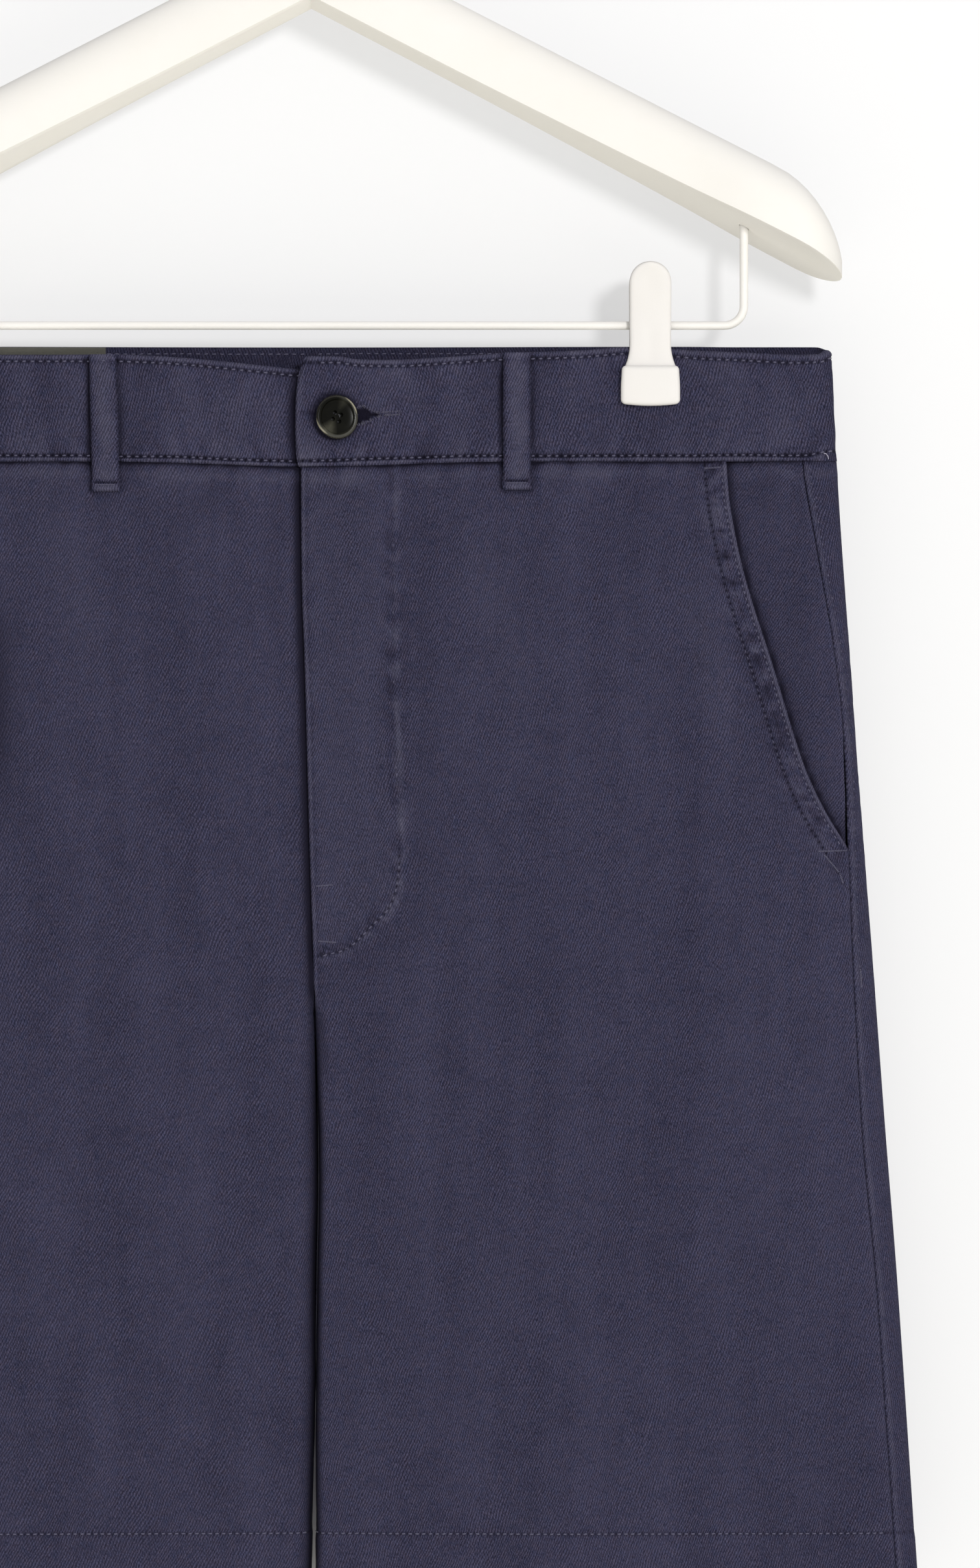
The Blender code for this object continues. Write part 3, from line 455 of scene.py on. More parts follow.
def mesh_object(name, points, quads, material, sharp=50.0):
    mesh = bpy.data.meshes.new(name)
    mesh.vertices.add(len(points))
    mesh.vertices.foreach_set("co", metres(points).astype(np.float32).ravel())
    mesh.loops.add(quads.size)
    mesh.loops.foreach_set("vertex_index", quads.astype(np.int32).ravel())
    mesh.polygons.add(len(quads))
    mesh.polygons.foreach_set("loop_start", np.arange(0, quads.size, 4, dtype=np.int32))
    mesh.update(calc_edges=True)
    mesh.validate()
    shade(mesh, sharp)
    mesh.materials.append(material)
    return link(name, mesh)


def bmesh_object(name, bm, material, sharp=35.0):
    mesh = bpy.data.meshes.new(name)
    bm.to_mesh(mesh)
    bm.free()
    shade(mesh, sharp)
    mesh.materials.append(material)
    return link(name, mesh)


def shell_quads(rows, columns):
    """Quads of a closed shell: an outer grid, an inner one, and the rim between."""
    at = np.arange(rows * columns).reshape(rows, columns)
    outer = np.stack([at[:-1, :-1], at[1:, :-1], at[1:, 1:], at[:-1, 1:]], axis=-1).reshape(-1, 4)
    inner = outer[:, ::-1] + rows * columns
    ring = np.concatenate([at[:, 0], at[-1, 1:], at[-2::-1, -1], at[0, -2:0:-1]])
    after = np.roll(ring, -1)
    rim = np.stack([ring, ring + rows * columns, after + rows * columns, after], axis=-1)
    return np.concatenate([outer, inner, rim])


def closed_shell(name, material, base, outward, relief, thickness):
    """A closed shell on a grid of points, its outer face raised by the relief."""
    normal = unit(np.cross(np.gradient(base, axis=0), np.gradient(base, axis=1)) * outward)
    outer = base + normal * relief[..., None]
    inner = base - normal * np.broadcast_to(thickness, relief.shape)[..., None]
    quads = shell_quads(*relief.shape)
    points = np.concatenate([outer.reshape(-1, 3), inner.reshape(-1, 3)])
    return mesh_object(name, points, quads if outward > 0 else quads[:, ::-1], material)


def cloth_piece(
    node, slot, material, flat, holders, base, outward, relief, wear_and_shading, v, thickness,
    area=None, held="hung", holes=0.0, u_start=None, u_way=None, anchor=0, inside_shade=0.0,
):
    """A shell that stands for its node, with its weave, rubbed paleness and painted shade at each point; its
    cut size is not used.
    """
    made = closed_shell(f"{node}_cloth", material, base, outward, relief, thickness)
    across = np.linalg.norm(np.diff(base, axis=1), axis=-1)
    along = np.concatenate([np.zeros((len(base), 1)), np.cumsum(across, axis=1)], axis=1)
    from_anchor = (u_way or outward) * (along - along[:, anchor : anchor + 1])
    u = (base[:, anchor : anchor + 1, 0] if u_start is None else u_start) + from_anchor
    # The third value pales the cloth where rubbed and darkens it as painted shade; the inner face gets
    # inside_shade, painted shade below 0.
    cloth = np.stack([u, v, np.broadcast_to(wear_and_shading, relief.shape)], axis=-1)
    holes = np.broadcast_to(holes, relief.shape + (3,))
    for label, values, inside in (("cloth", cloth, inside_shade), ("seam", holes, 0.0)):
        values = values.reshape(-1, 3)
        both = np.concatenate([values, values * (1, 1, 0) + (0, 0, inside)])
        attribute = made.data.attributes.new(label, "FLOAT_VECTOR", "POINT")
        attribute.data.foreach_set("vector", both.astype(np.float32).ravel())
    keep(made, slot, node)


def wire(name, points, across, material, slot, *replaced, sides=5):
    curve = bpy.data.curves.new(name, "CURVE")
    curve.dimensions = "3D"
    curve.bevel_depth = across / 2 * 0.001
    curve.bevel_resolution = sides
    curve.use_fill_caps = True
    line = curve.splines.new("POLY")
    line.points.add(len(points) - 1)
    for point, at in zip(line.points, metres(points)):
        point.co = (*at, 1)
    curve.materials.append(material)
    keep(link(name, curve), slot, *replaced)


def ring_mesh(name, rings, material, sharp=35.0):
    """A closed skin through rings of equal count."""
    rings = np.asarray(rings)
    count, around = rings.shape[:2]
    at = np.arange(count * around).reshape(count, around)
    after = np.roll(at, -1, axis=1)
    sides = np.stack([at[:-1], after[:-1], after[1:], at[1:]], axis=-1).reshape(-1, 4)
    middles = np.stack([rings[0].mean(axis=0), rings[-1].mean(axis=0)])
    bm = bmesh.new()
    verts = [bm.verts.new(tuple(p)) for p in metres(np.concatenate([rings.reshape(-1, 3), middles]))]
    for quad in sides:
        bm.faces.new([verts[i] for i in quad])
    for k in range(around):
        bm.faces.new((verts[at[0, k]], verts[-2], verts[after[0, k]]))
        bm.faces.new((verts[at[-1, k]], verts[after[-1, k]], verts[-1]))
    bmesh.ops.recalc_face_normals(bm, faces=bm.faces)
    return bmesh_object(name, bm, material, sharp)


def turned(profile, middle, axis, steps):
    """Rings of a turned form, from (radius, height) pairs about an axis."""
    axis = unit(np.array(axis, float))
    side = unit(np.cross(axis, (0.0, 1.0, 0.0) if abs(axis[1]) < 0.9 else (0.0, 0.0, 1.0)))
    turn = np.arange(steps)[:, None] * math.tau / steps
    spokes = side * np.cos(turn) + np.cross(axis, side) * np.sin(turn)
    return [np.asarray(middle) + axis * height + radius * spokes for radius, height in profile]


def strand(name, middle, axis, radius, rise, turns, thick, thread, steps=14):
    """A wound strand of thread about an axis."""
    ring = turned([(radius, 0.0)], (0, 0, 0), axis, steps)[0]
    axis = unit(np.array(axis, float))
    last = int(turns * steps)
    points = [np.asarray(middle) + ring[k % steps] + axis * rise * (k / last - 0.5) for k in range(last + 1)]
    wire(name, points, thick, thread, "band_twill", sides=2)


def put_in_place(bm, middle, along=(0, 0, 1)):
    """Turns a mesh to face this way and moves it to its place, in metres."""
    turn = Vector((0, 0, 1)).rotation_difference(Vector(along)).to_matrix()
    bmesh.ops.rotate(bm, verts=bm.verts, matrix=turn)
    bmesh.ops.translate(bm, vec=Vector(middle), verts=bm.verts)
    bmesh.ops.scale(bm, vec=(0.001,) * 3, verts=bm.verts)


def cylinder(name, middle, radius, length, along, material, sides):
    bm = bmesh.new()
    bmesh.ops.create_cone(bm, cap_ends=True, segments=sides, radius1=radius, radius2=radius, depth=length)
    put_in_place(bm, middle, along)
    return bmesh_object(name, bm, material)


def cut(target, cutters):
    """Takes the cutters out of a mesh for good."""
    for cutter in cutters:
        step = target.modifiers.new("cut", "BOOLEAN")
        step.operation = "DIFFERENCE"
        step.solver = "EXACT"
        step.object = cutter
    graph = bpy.context.evaluated_depsgraph_get()
    mesh = bpy.data.meshes.new_from_object(target.evaluated_get(graph))
    target.modifiers.clear()
    old, target.data = target.data, mesh
    shade(mesh, 32)
    bpy.data.meshes.remove(old)
    for cutter in cutters:
        bpy.data.objects.remove(cutter)


# ---- stitches ----
def stitch_row(path, normals, pitch=PITCH, length=1.75, radius=THREAD, lift=0.12, run=None):
    """Rings of a row of thread on a path, each stitch arching out of its two holes.

    A stitch lies between two whole pitches of run, where the cloth has its needle holes.
    """
    run = run_of(path) if run is None else run
    first = math.ceil(run[0] / pitch)
    count = math.floor(run[-1] / pitch) - first
    if count < 1:
        return np.zeros((0, 4, 6, 3))
    chance = np.random.default_rng(count + 17)
    long = length * (1 + 0.10 * chance.uniform(-1, 1, (count, 1)))
    middle = first + 0.5 + np.arange(count)[:, None] + 0.03 * chance.uniform(-1, 1, (count, 1))
    lean = 0.10 * chance.uniform(-1, 1, (count, 1)) + 0.05
    at = middle * pitch + long * np.array([-0.5, -0.27, 0.27, 0.5])
    thread, out = (
        np.stack([np.interp(at, run, column) for column in points.T], axis=-1) for points in (path, normals)
    )
    out = unit(out)
    side = np.cross(out, unit(np.gradient(thread, axis=1)))
    height = np.array([-0.34, lift, lift, -0.34])[:, None]
    girth = radius * np.array([0.75, 1.0, 1.0, 0.75])[:, None]
    thread = thread + side * (lean * np.array([-1, -0.5, 0.5, 1]))[..., None] + out * height
    turn = np.arange(6) * math.pi / 3
    ring_out = out[:, :, None] * (girth * np.cos(turn))[..., None]
    return thread[:, :, None] + ring_out + side[:, :, None] * (1.15 * girth * np.sin(turn))[..., None]


def stitch_object(name, rows, material, slot):
    """One object for many rows of stitches."""
    rings = np.concatenate([row for row in rows if len(row)])
    k = np.arange(6)
    after = (k + 1) % 6
    body = [6 * r + np.stack([k, after, after + 6, k + 6], axis=1) for r in range(3)]
    caps = np.array([[0, 5, 4, 3], [0, 3, 2, 1], [18, 19, 20, 21], [18, 21, 22, 23]])
    quads = np.concatenate(body + [caps]) + 24 * np.arange(len(rings))[:, None, None]
    keep(mesh_object(name, rings.reshape(-1, 3), quads.reshape(-1, 4), material, sharp=80), slot)


def on_surface(point_at, path, relief_at=None):
    """Points and outward normals where a line of (x, drop) lies on a piece."""
    x, drop = path.T
    here = point_at(x, drop)
    normal = unit(np.cross(point_at(x, drop + 0.05) - here, point_at(x + 0.05, drop) - here))
    normal *= np.where(normal[:, 1] * np.where(here[:, 1] < 0, -1, 1) >= 0, 1, -1)[:, None]
    if relief_at is not None:
        here = here + normal * relief_at(x, drop)[0][:, None]
    return here, normal


# ---- materials ----
class Nodes:
    """The nodes of a material or world: each call adds one and returns its output."""

    def __init__(self, owner):
        owner.use_nodes = True
        self.tree = owner.node_tree
        operations = "ADD", "SUBTRACT", "MULTIPLY", "MULTIPLY_ADD", "ABSOLUTE"
        self.add, self.sub, self.mul, self.mad, self.abs = (
            partial(self.math, operation) for operation in operations
        )

    def put(self, socket, value):
        if isinstance(value, bpy.types.NodeSocket):
            self.tree.links.new(value, socket)
        elif value is not None:
            socket.default_value = value

    def node(self, kind, *values, output=None, **settings):
        made = self.tree.nodes.new("ShaderNode" + kind)
        for label, setting in settings.items():
            setattr(made, label, setting)
        for socket, value in zip([s for s in made.inputs if s.enabled], values):
            self.put(socket, value)
        return made.outputs[output] if output else [s for s in made.outputs if s.enabled][0]

    def math(self, operation, *values):
        return self.node("Math", *values, operation=operation)

    def clamp(self, value):
        return self.math("MINIMUM", self.math("MAXIMUM", value, 0.0), 1.0)

    def split(self, vector):
        return self.node("SeparateXYZ", vector).node.outputs

    def attribute(self, name):
        return self.split(self.node("Attribute", output="Vector", attribute_name=name))

    def place(self):
        return self.node("TexCoord", output="Object")

    def vector(self, *values):
        return self.node("CombineXYZ", *values)

    def noise(self, place, scale, detail=2.0, rough=0.5):
        return self.node("TexNoise", place, scale, detail, rough)

    def blend(self, factor, a, b):
        return self.node("Mix", factor, a, b, data_type="RGBA")


class Graph(Nodes):
    """A material on the Principled shader."""

    def __init__(self, name, **shader):
        self.material = bpy.data.materials.new(name)
        super().__init__(self.material)
        self.shader = self.tree.nodes["Principled BSDF"]
        self.shade(**shader)

    def shade(self, **shader):
        for label, value in shader.items():
            self.put(self.shader.inputs[label.replace("_", " ").title().replace("Ior", "IOR")], value)

    def finish(self, colour, roughness=None, height=None, height_mm=1.0):
        self.shade(base_color=colour, roughness=roughness)
        self.shade(normal=self.node("Bump", 1.0, height_mm * 0.001, None, height))
        return self.material


DEEP_COOL = (0.0095, 0.0115, 0.0265, 1)
DEEP_WARM = (0.0150, 0.0120, 0.0225, 1)
LIGHT_COOL = (0.0490, 0.0527, 0.1050, 1)
LIGHT_WARM = (0.0665, 0.0582, 0.0955, 1)
# Pale blue-grey: rubbed wear, and painted highlight on crests.
WORN_AND_LIT = (0.0830, 0.0800, 0.1220, 1)
# The near-black that painted shade darkens the cloth towards.
SHADE = (0.0080, 0.0072, 0.0150, 1)
CROSS_TURN = 114.0  # the floats' lean, the other way from the lines
CROSS_PITCH = 0.84  # from one float to the next, for lines 1 mm apart


def twill(name, angle=70.0, pitch=1.0, tone=0.0, contrast=1.0):
    """Garment-dyed navy twill: steep lines of short floats, paler where seams have rubbed and under painted
    highlights, darker under painted shade.
    """
    g = Graph(name, roughness=0.95, specular_ior_level=0.06)
    add, mul, mad = g.add, g.mul, g.mad
    u, v, wear_and_shading = g.attribute("cloth")
    place = g.vector(u, v)

    def lines(turn, spacing, shift):
        turn = math.radians(turn)
        return add(add(mul(u, math.sin(turn) / spacing), mul(v, math.cos(turn) / spacing)), shift)

    def wave(phase):
        return mad(g.math("SINE", mul(phase, math.tau)), 0.5, 0.5)

    def around(value, swing):
        return mad(value, 2 * swing, -swing)

    def raised(low, high, *noise_settings):
        """Noise pulled out to reach both ends of its range."""
        return g.clamp(mad(g.noise(place, *noise_settings), high - low, low))

    sway = around(g.noise(place, 0.035, 1), 2.6)
    waver = add(around(g.noise(place, 0.20, 2), 0.50), around(g.noise(place, 1.1, 1), 0.28))
    line = lines(angle, pitch, add(waver, sway))
    flutter = around(g.noise(g.vector(v, u), 0.6, 2), 1.1)
    cross = lines(CROSS_TURN, CROSS_PITCH * pitch, add(flutter, sway))
    steep = raised(-1.0, 2.6, 0.15, 2)
    yarn = mul(g.math("POWER", wave(line), 1.2), mad(steep, 0.50, 0.20))
    yarn = mul(yarn, mad(wave(cross), 0.8, 0.6))
    floats = mul(wave(cross), mad(steep, -0.26, 0.34))
    slub = g.noise(g.vector(mul(line, 1.1), mul(cross, 0.9)), 1.0, 1)
    yarn = mul(add(yarn, floats), mad(slub, 1.5, 0.25))
    fibre = g.noise(g.vector(mad(v, -0.36, u), mul(v, 0.42)), 2.0, 3, 0.6)
    patch = g.noise(place, 0.045, 3, 0.6)
    streak = g.noise(g.vector(mul(u, 0.05), mul(v, 0.005)), 1.0, 2)
    tint = mad(yarn, 0.95, mul(fibre, 1.45))
    tint = mad(g.sub(tint, 1.025), contrast, 0.62)
    tint = add(add(tint, around(patch, 0.12)), around(streak, 0.19))
    tint = g.clamp(add(tint, tone - 0.22))
    hue = raised(-0.45, 1.45, 0.30, 4, 0.75)
    colour = g.blend(tint, g.blend(hue, DEEP_COOL, DEEP_WARM), g.blend(hue, LIGHT_COOL, LIGHT_WARM))
    # Above 0 the value pales the cloth (rubbed wear, and painted highlight on crests); below 0 it darkens it
    # as painted shade.
    colour = g.blend(g.clamp(mul(wear_and_shading, mad(yarn, 0.8, 0.40))), colour, WORN_AND_LIT)
    colour = g.blend(g.clamp(mul(wear_and_shading, -1.0)), colour, SHADE)
    # Needle holes lie at whole pitches of s, and d is how far beside the row a place is.
    s, d, strength = g.attribute("seam")
    from_hole = mul(g.abs(g.sub(g.math("FRACT", s), 0.5)), 2.0)
    beside = g.math("DIVIDE", d, 0.72)
    near = mul(g.math("POWER", math.e, mul(mul(beside, beside), -1.0)), strength)
    pricked = mul(near, g.math("POWER", from_hole, 3.0))
    # Painted shade: the needle holes and the channel along each row darkened towards SHADE.
    colour = g.blend(g.clamp(mad(pricked, 0.75, mul(near, 0.40))), colour, SHADE)
    height = g.sub(mad(yarn, 0.11, mul(fibre, 0.07)), mul(pricked, 0.45))
    return g.finish(colour, height=height)


def scaled(colour, factors):
    return (*np.multiply(colour[:3], factors), 1)


def thread_material(name, colour):
    g = Graph(name, roughness=0.62, specular_ior_level=0.4, sheen_weight=0.15)
    twist = g.noise(g.place(), 2600, 2)
    return g.finish(g.blend(twist, colour, scaled(colour, 1.7)), height=twist, height_mm=0.05)


def woven_tape(name, dark, light, pitch):
    """A plain fine weave, for the label, the pocket bags and the zip's tape."""
    g = Graph(name, roughness=0.85, specular_ior_level=0.3)
    x, _, z = g.split(g.place())
    warp, weft = (g.math("SINE", g.mul(along, math.tau * 1000 / pitch)) for along in (x, z))
    weave = g.mad(g.mul(warp, weft), 0.5, 0.5)
    tint = g.mad(weave, 0.5, g.mul(g.noise(g.place(), 900, 3), 0.5))
    return g.finish(g.blend(tint, dark, light), height=weave, height_mm=0.06)


def plain_twill(name):
    """The same twill for inner pieces, its lines laid by place."""
    g = Graph(name, roughness=0.9, specular_ior_level=0.25)
    x, _, z = g.split(g.place())
    turn, scale = math.radians(70), math.tau * 1000
    phase = g.add(g.mul(x, scale * math.sin(turn)), g.mul(z, -scale * math.cos(turn)))
    wale = g.mad(g.math("SINE", phase), 0.5, 0.5)
    tint = g.mad(wale, 0.5, g.mul(g.noise(g.place(), 1500, 3), 0.45))
    return g.finish(g.blend(tint, DEEP_WARM, LIGHT_COOL), None, wale, 0.08)


def moulded(name, colour, roughness, grain=0.02):
    """Painted or moulded white: even, with faint unevenness in its gloss and face."""
    g = Graph(name, specular_ior_level=0.3)
    place = g.place()
    gloss = g.mad(g.noise(place, 140, 3), 0.14, roughness - 0.07)
    face = g.blend(g.noise(place, 60, 3), colour, scaled(colour, (0.985, 0.975, 0.955)))
    return g.finish(face, gloss, g.noise(place, 900, 2), grain)


def metal(name, colour, roughness):
    g = Graph(name, metallic=1.0)
    scratch = g.noise(g.place(), 1200, 3)
    gloss = g.mad(scratch, 0.2, roughness - 0.1)
    return g.finish(g.blend(scratch, colour, scaled(colour, 0.8)), gloss, scratch, 0.01)


def horn_material(middle):
    """Near-black olive horn: faintly cloudy, with a painted highlight as a paler fan towards its lower left,
    and painted highlight arcs on its rim.
    """
    g = Graph("horn_button", roughness=0.26)
    add, mul, mad = g.add, g.mul, g.mad
    centred = g.node("VectorMath", g.place(), tuple(metres(middle)), operation="SUBTRACT")
    x, _, z = g.split(centred)
    x, z = (mul(along, 1000 / (BUTTON_ACROSS / 2)) for along in (x, z))
    cloud = g.noise(g.place(), 190, 4, 0.6)
    # Painted highlight: a paler fan towards the lower left, fainter towards the upper right.
    down = add(mul(z, -0.88), mul(x, -0.47))
    sideways = g.abs(add(mul(z, -0.47), mul(x, 0.88)))
    fan = g.clamp(mad(g.sub(down, mul(sideways, 1.5)), 1.6, -0.02))
    back_fan = g.sub(mul(down, -1.0), mul(sideways, 2.5))
    fan = mul(add(fan, mul(g.clamp(back_fan), 0.5)), mad(cloud, 1.4, -0.1))
    out = g.math("SQRT", add(mul(x, x), mul(z, z)))
    rim = g.clamp(mad(out, 9.0, -7.3))
    g.shade(specular_ior_level=mad(rim, 0.55, 0.07))
    dark = g.blend(cloud, (0.0008, 0.0009, 0.0006, 1), (0.0060, 0.0060, 0.0044, 1))
    face = g.blend(mul(fan, 0.62), dark, (0.110, 0.108, 0.082, 1))
    olive = g.blend(cloud, (0.008, 0.008, 0.005, 1), (0.034, 0.032, 0.022, 1))
    # Painted highlight: bright arcs on the rim at the upper right and lower left.
    lit = g.clamp(mad(g.abs(add(mul(x, 0.82), mul(z, 0.57))), 11.0, -8.6))
    ring = g.clamp(mad(g.abs(g.sub(out, 0.90)), -26.0, 1.5))
    olive = g.blend(mul(lit, g.clamp(ring)), olive, (0.29, 0.27, 0.20, 1))
    return g.finish(g.blend(rim, face, olive), None, cloud, 0.015)


# ---- the cloth's pieces ----
# Distances of a grid's first columns from an edge.
EDGE = [0, 0.12, 0.35, 0.7, 1.2, 1.8, 2.6, 3.6, 4.8, 6.2, 8.0]
POCKET_SIDE = [0, 0.12, 0.35, 0.7, 1.1, 1.6, 2.0, 2.5, 3.1, 3.9, 5.0, 6.2, 7.2, 7.9, 8.6, 9.3, 10.2, 11.6]
FINE_EDGE = [0, 0.15, 0.4, 0.8, 1.4]
LOOP_SIDE = [0, 0.15, 0.45, 0.9, 1.5, 2.2, 3.0]
ROWS_BELOW_BAND = [0, 0.25, 0.6, 1.1, 1.7, 2.4, 3.2, 4.1, 5.1, 6.2, 7.4, 8.7, 10.1, 11.6, 13.3]
ROWS_ABOVE_HEM = [31, 29.8, 28.8, 27.6, 25, 21, 17, 13, 9, 6, 4, 2.5, 1.4, 0.7, 0.3, 0]
BAND_TOP_ROWS = [0, 0.15, 0.4, 0.75, 1.2, 1.7, 2.2, 2.6, 3.0, 3.5, 4.2]
BAND_BOTTOM_ROWS = [0, 0.15, 0.35, 0.65, 1.0, 1.35, 1.7, 2.05, 2.4, 2.8, 3.3, 4.0]

Seam = namedtuple("Seam", "line channel pucker length pitch holes lift")  # a line of stitches


def rolled_edge(distance, radius):
    """How far a folded edge rounds away, at a distance from it."""
    return radius * (quarter(distance / radius) - 1)


def in_hem(drop):
    return smooth(drop, HEM - 29.5, HEM - 27)


def panel_rows():
    upper = spread(BAND_SEAM + CLOSE, CROTCH, ROWS_BELOW_BAND, [0], 2.1)[0]
    lower = spread(CROTCH, HEM - HEM_DEPTH - 2, [0], [0], 2.7)[0][1:]
    return np.concatenate([upper, lower, HEM - np.array(ROWS_ABOVE_HEM)])


def front_edges(sign, drop):
    """Where a front panel's inner and outer edges are."""
    open_below = smooth(drop, FLY_BOTTOM - 10, FLY_BOTTOM)
    if sign > 0:
        inner = centre(drop) + leg_gap(drop) * open_below
    else:
        inner = centre(drop) - leg_gap(drop) + LAP * (1 - open_below)
    seam = side_seam(drop) - CLOSE
    return inner, sign * np.where(drop < POCKET_BOTTOM, np.minimum(pocket_edge(drop), seam), seam)


def pocket_line(sign, inside):
    """The pocket's edge moved in by this much, as a stitch line."""
    drop = np.linspace(BAND_SEAM + 1, POCKET_BOTTOM - 0.5, 34)
    x = pocket_edge(drop)
    lean = np.gradient(x, drop)
    scale = np.sqrt(1 + lean**2)
    return line_of(sign * (x - inside / scale), drop + inside * lean / scale)


def side_line(sign):
    """The row of stitches beside the side seam, down to its bartack."""
    drop = np.linspace(BAND_SEAM + 1.5, SIDE_ROW_END, 40)
    return line_of(sign * (side_seam(drop) + SIDE_ROW), drop)


def hem_seam(sign, end):
    return Seam([(sign * 1.0, HEM_ROW), (sign * end, HEM_ROW)], 0.22, 0.16, 8.0, PITCH, 0.6, 0.06)


def front_lines(sign):
    """The stitch lines on a front panel, and what each does to the cloth."""
    lines = {
        "pocket_edge": Seam(pocket_line(sign, 2.1), 0.26, 0.22, 5.5, PITCH, 0.45, -0.16),
        "pocket_inner": Seam(pocket_line(sign, 8.8), 0.38, 0.40, 6.5, PITCH, 0.9, -0.22),
        "hem": hem_seam(sign, 238),
    }
    if sign > 0:
        drop = np.linspace(50, 260, 60)
        lines["fly_edge"] = Seam(line_of(centre(drop) + 2.1, drop), 0.26, 0.20, 6.0, FLY_PITCH, 0.3, -0.24)
        drop = np.linspace(J_STITCH["drop"][0], J_STITCH["drop"][-1], 90)
        lines["fly"] = Seam(line_of(fly_row(drop), drop), 0.30, 0.46, 8.0, FLY_PITCH, 0.75, -0.25)
    return lines


def seam_relief(seams, x, drop, seed):
    """What stitch lines do to a panel: channels, puckers beside them, and the needle holes."""
    relief, wear_and_shading = np.zeros(np.shape(x)), np.zeros(np.shape(x))
    holes = np.zeros(np.shape(x) + (3,))
    best = np.full(np.shape(x), 1e9)
    for k, seam in enumerate(seams):
        away, along = nearest(seam.line, x, drop)
        beside = np.abs(away)
        wave = ripple(along, seam.length, seed + 7 * k, beside, 0.9)
        reach = bump(away, 5.0) * (0.35 + 0.65 * smooth(beside, 0.2, 1.4))
        relief = relief - seam.channel * bump(away, 0.8) + seam.pucker * wave * reach
        # Pucker crests paler and hollows darker, partly rubbed wear and partly painted light and shade;
        # painted shade along the channel.
        wear_and_shading = wear_and_shading + seam.pucker * (1.3 * wave * bump(away, 3.8) - 0.2 * bump(away, 0.9))
        here = np.stack([along / seam.pitch, away, np.full(np.shape(x), seam.holes)], axis=-1)
        holes = np.where((beside < best)[..., None], here, holes)
        best = np.minimum(best, beside)
    return relief, wear_and_shading, holes


def creases(back, x, drop):
    """The listed creases of one face."""
    total = np.zeros(np.shape(x))
    for k, (on_back, ax, ad, bx, bd, half, out) in enumerate(CREASES):
        if on_back == back:
            dx, dd = bx - ax, bd - ad
            length = math.hypot(dx, dd)
            along = ((x - ax) * dx + (drop - ad) * dd) / length**2
            away = ((x - ax) * dd - (drop - ad) * dx) / length + 1.6 * noise(along * 3, k, 40 + k)
            total += out * bump(away, half) * smooth(along, -0.15, 0.3) * fade(along, 0.55, 1.2)
    return total


def broad_relief(back, x, drop, seed):
    """Creases, and the faint unevenness of cloth that has been worn and washed."""
    soft = 0.30 * noise(x / 23, drop / 38, seed) + 0.12 * noise(x / 7, drop / 12, seed + 1)
    return creases(back, x, drop) + soft


def under_band(x, drop, seed):
    """The seam's turnings lift the panel just under the waistband, and pucker it; a painted shadow darkens
    the cloth right under the waistband's edge.
    """
    below = drop - BAND_SEAM - CLOSE
    at_side = fade(np.abs(x), 194, 207)
    lift = 0.46 * bump(below - 5.2, 2.5) * (0.7 + 0.3 * noise(x / 17, 0.3, seed)) * (0.3 + 0.7 * at_side)
    puckers = ripple(x, 9.0, seed + 2, below, 0.35) * np.exp(-np.maximum(below, 0) / 8.0) * at_side
    # Pucker tone: paler crests and darker hollows, partly rubbed wear and partly painted light and shade.
    wear_and_shading = 0.55 * puckers + 0.20 * bump(below - 4.6, 1.8)
    # Painted shadow under the waistband's lower edge.
    wear_and_shading -= 1.05 * bump(below + 0.1, 1.1) * (0.25 + 0.75 * at_side)
    return lift - 0.55 * bump(below, 1.3) * at_side + 0.46 * puckers, wear_and_shading


def loop_top(on_back, x):
    return float(band_top(1 if x > 0 else -1, on_back, x)) + 0.2


def loop_lean(x, down):
    """The loops on the wearer's right hang a little askew."""
    return (down - 0.5) * (1.6 if x < 0 else 0.0)


def beside_loops(back, x, drop):
    """How near a place is to a belt loop's sides and foot, for a channel and a painted shadow beside the
    loop.
    """
    near = np.zeros(np.shape(x))
    for _, on_back, middle in LOOPS:
        down = (drop - loop_top(on_back, middle)) / LOOP_LENGTH
        across = x - middle - loop_lean(middle, down)
        along = smooth(down, -0.01, 0.02) * fade(down, 0.98, 1.02)
        foot = 0.6 * bump((down - 1) * LOOP_LENGTH - 0.5, 0.7) * fade(np.abs(across), 5.0, 6.4)
        left, right = across + LOOP_HALF + 0.3, across - LOOP_HALF - 0.3
        sides = bump(left, 1.2) + 0.55 * bump(right, 0.8) + 0.22 * bump(right - 1.0, 2.2)
        near += np.where(back == on_back, along * sides + foot, 0.0)
    return near


def loops_and_hem(back, x, drop, relief, wear_and_shading):
    """Adds the channel and painted shadow beside the belt loops, and what the turned-up hem does to a panel.
    """
    gutter = beside_loops(back, x, drop)
    hem = 0.25 * in_hem(drop) + rolled_edge(HEM - drop, 1.3)
    # Painted shadow: the cloth beside each loop's sides and foot is darkened.
    return relief - 0.30 * gutter + hem, wear_and_shading - 1.05 * gutter


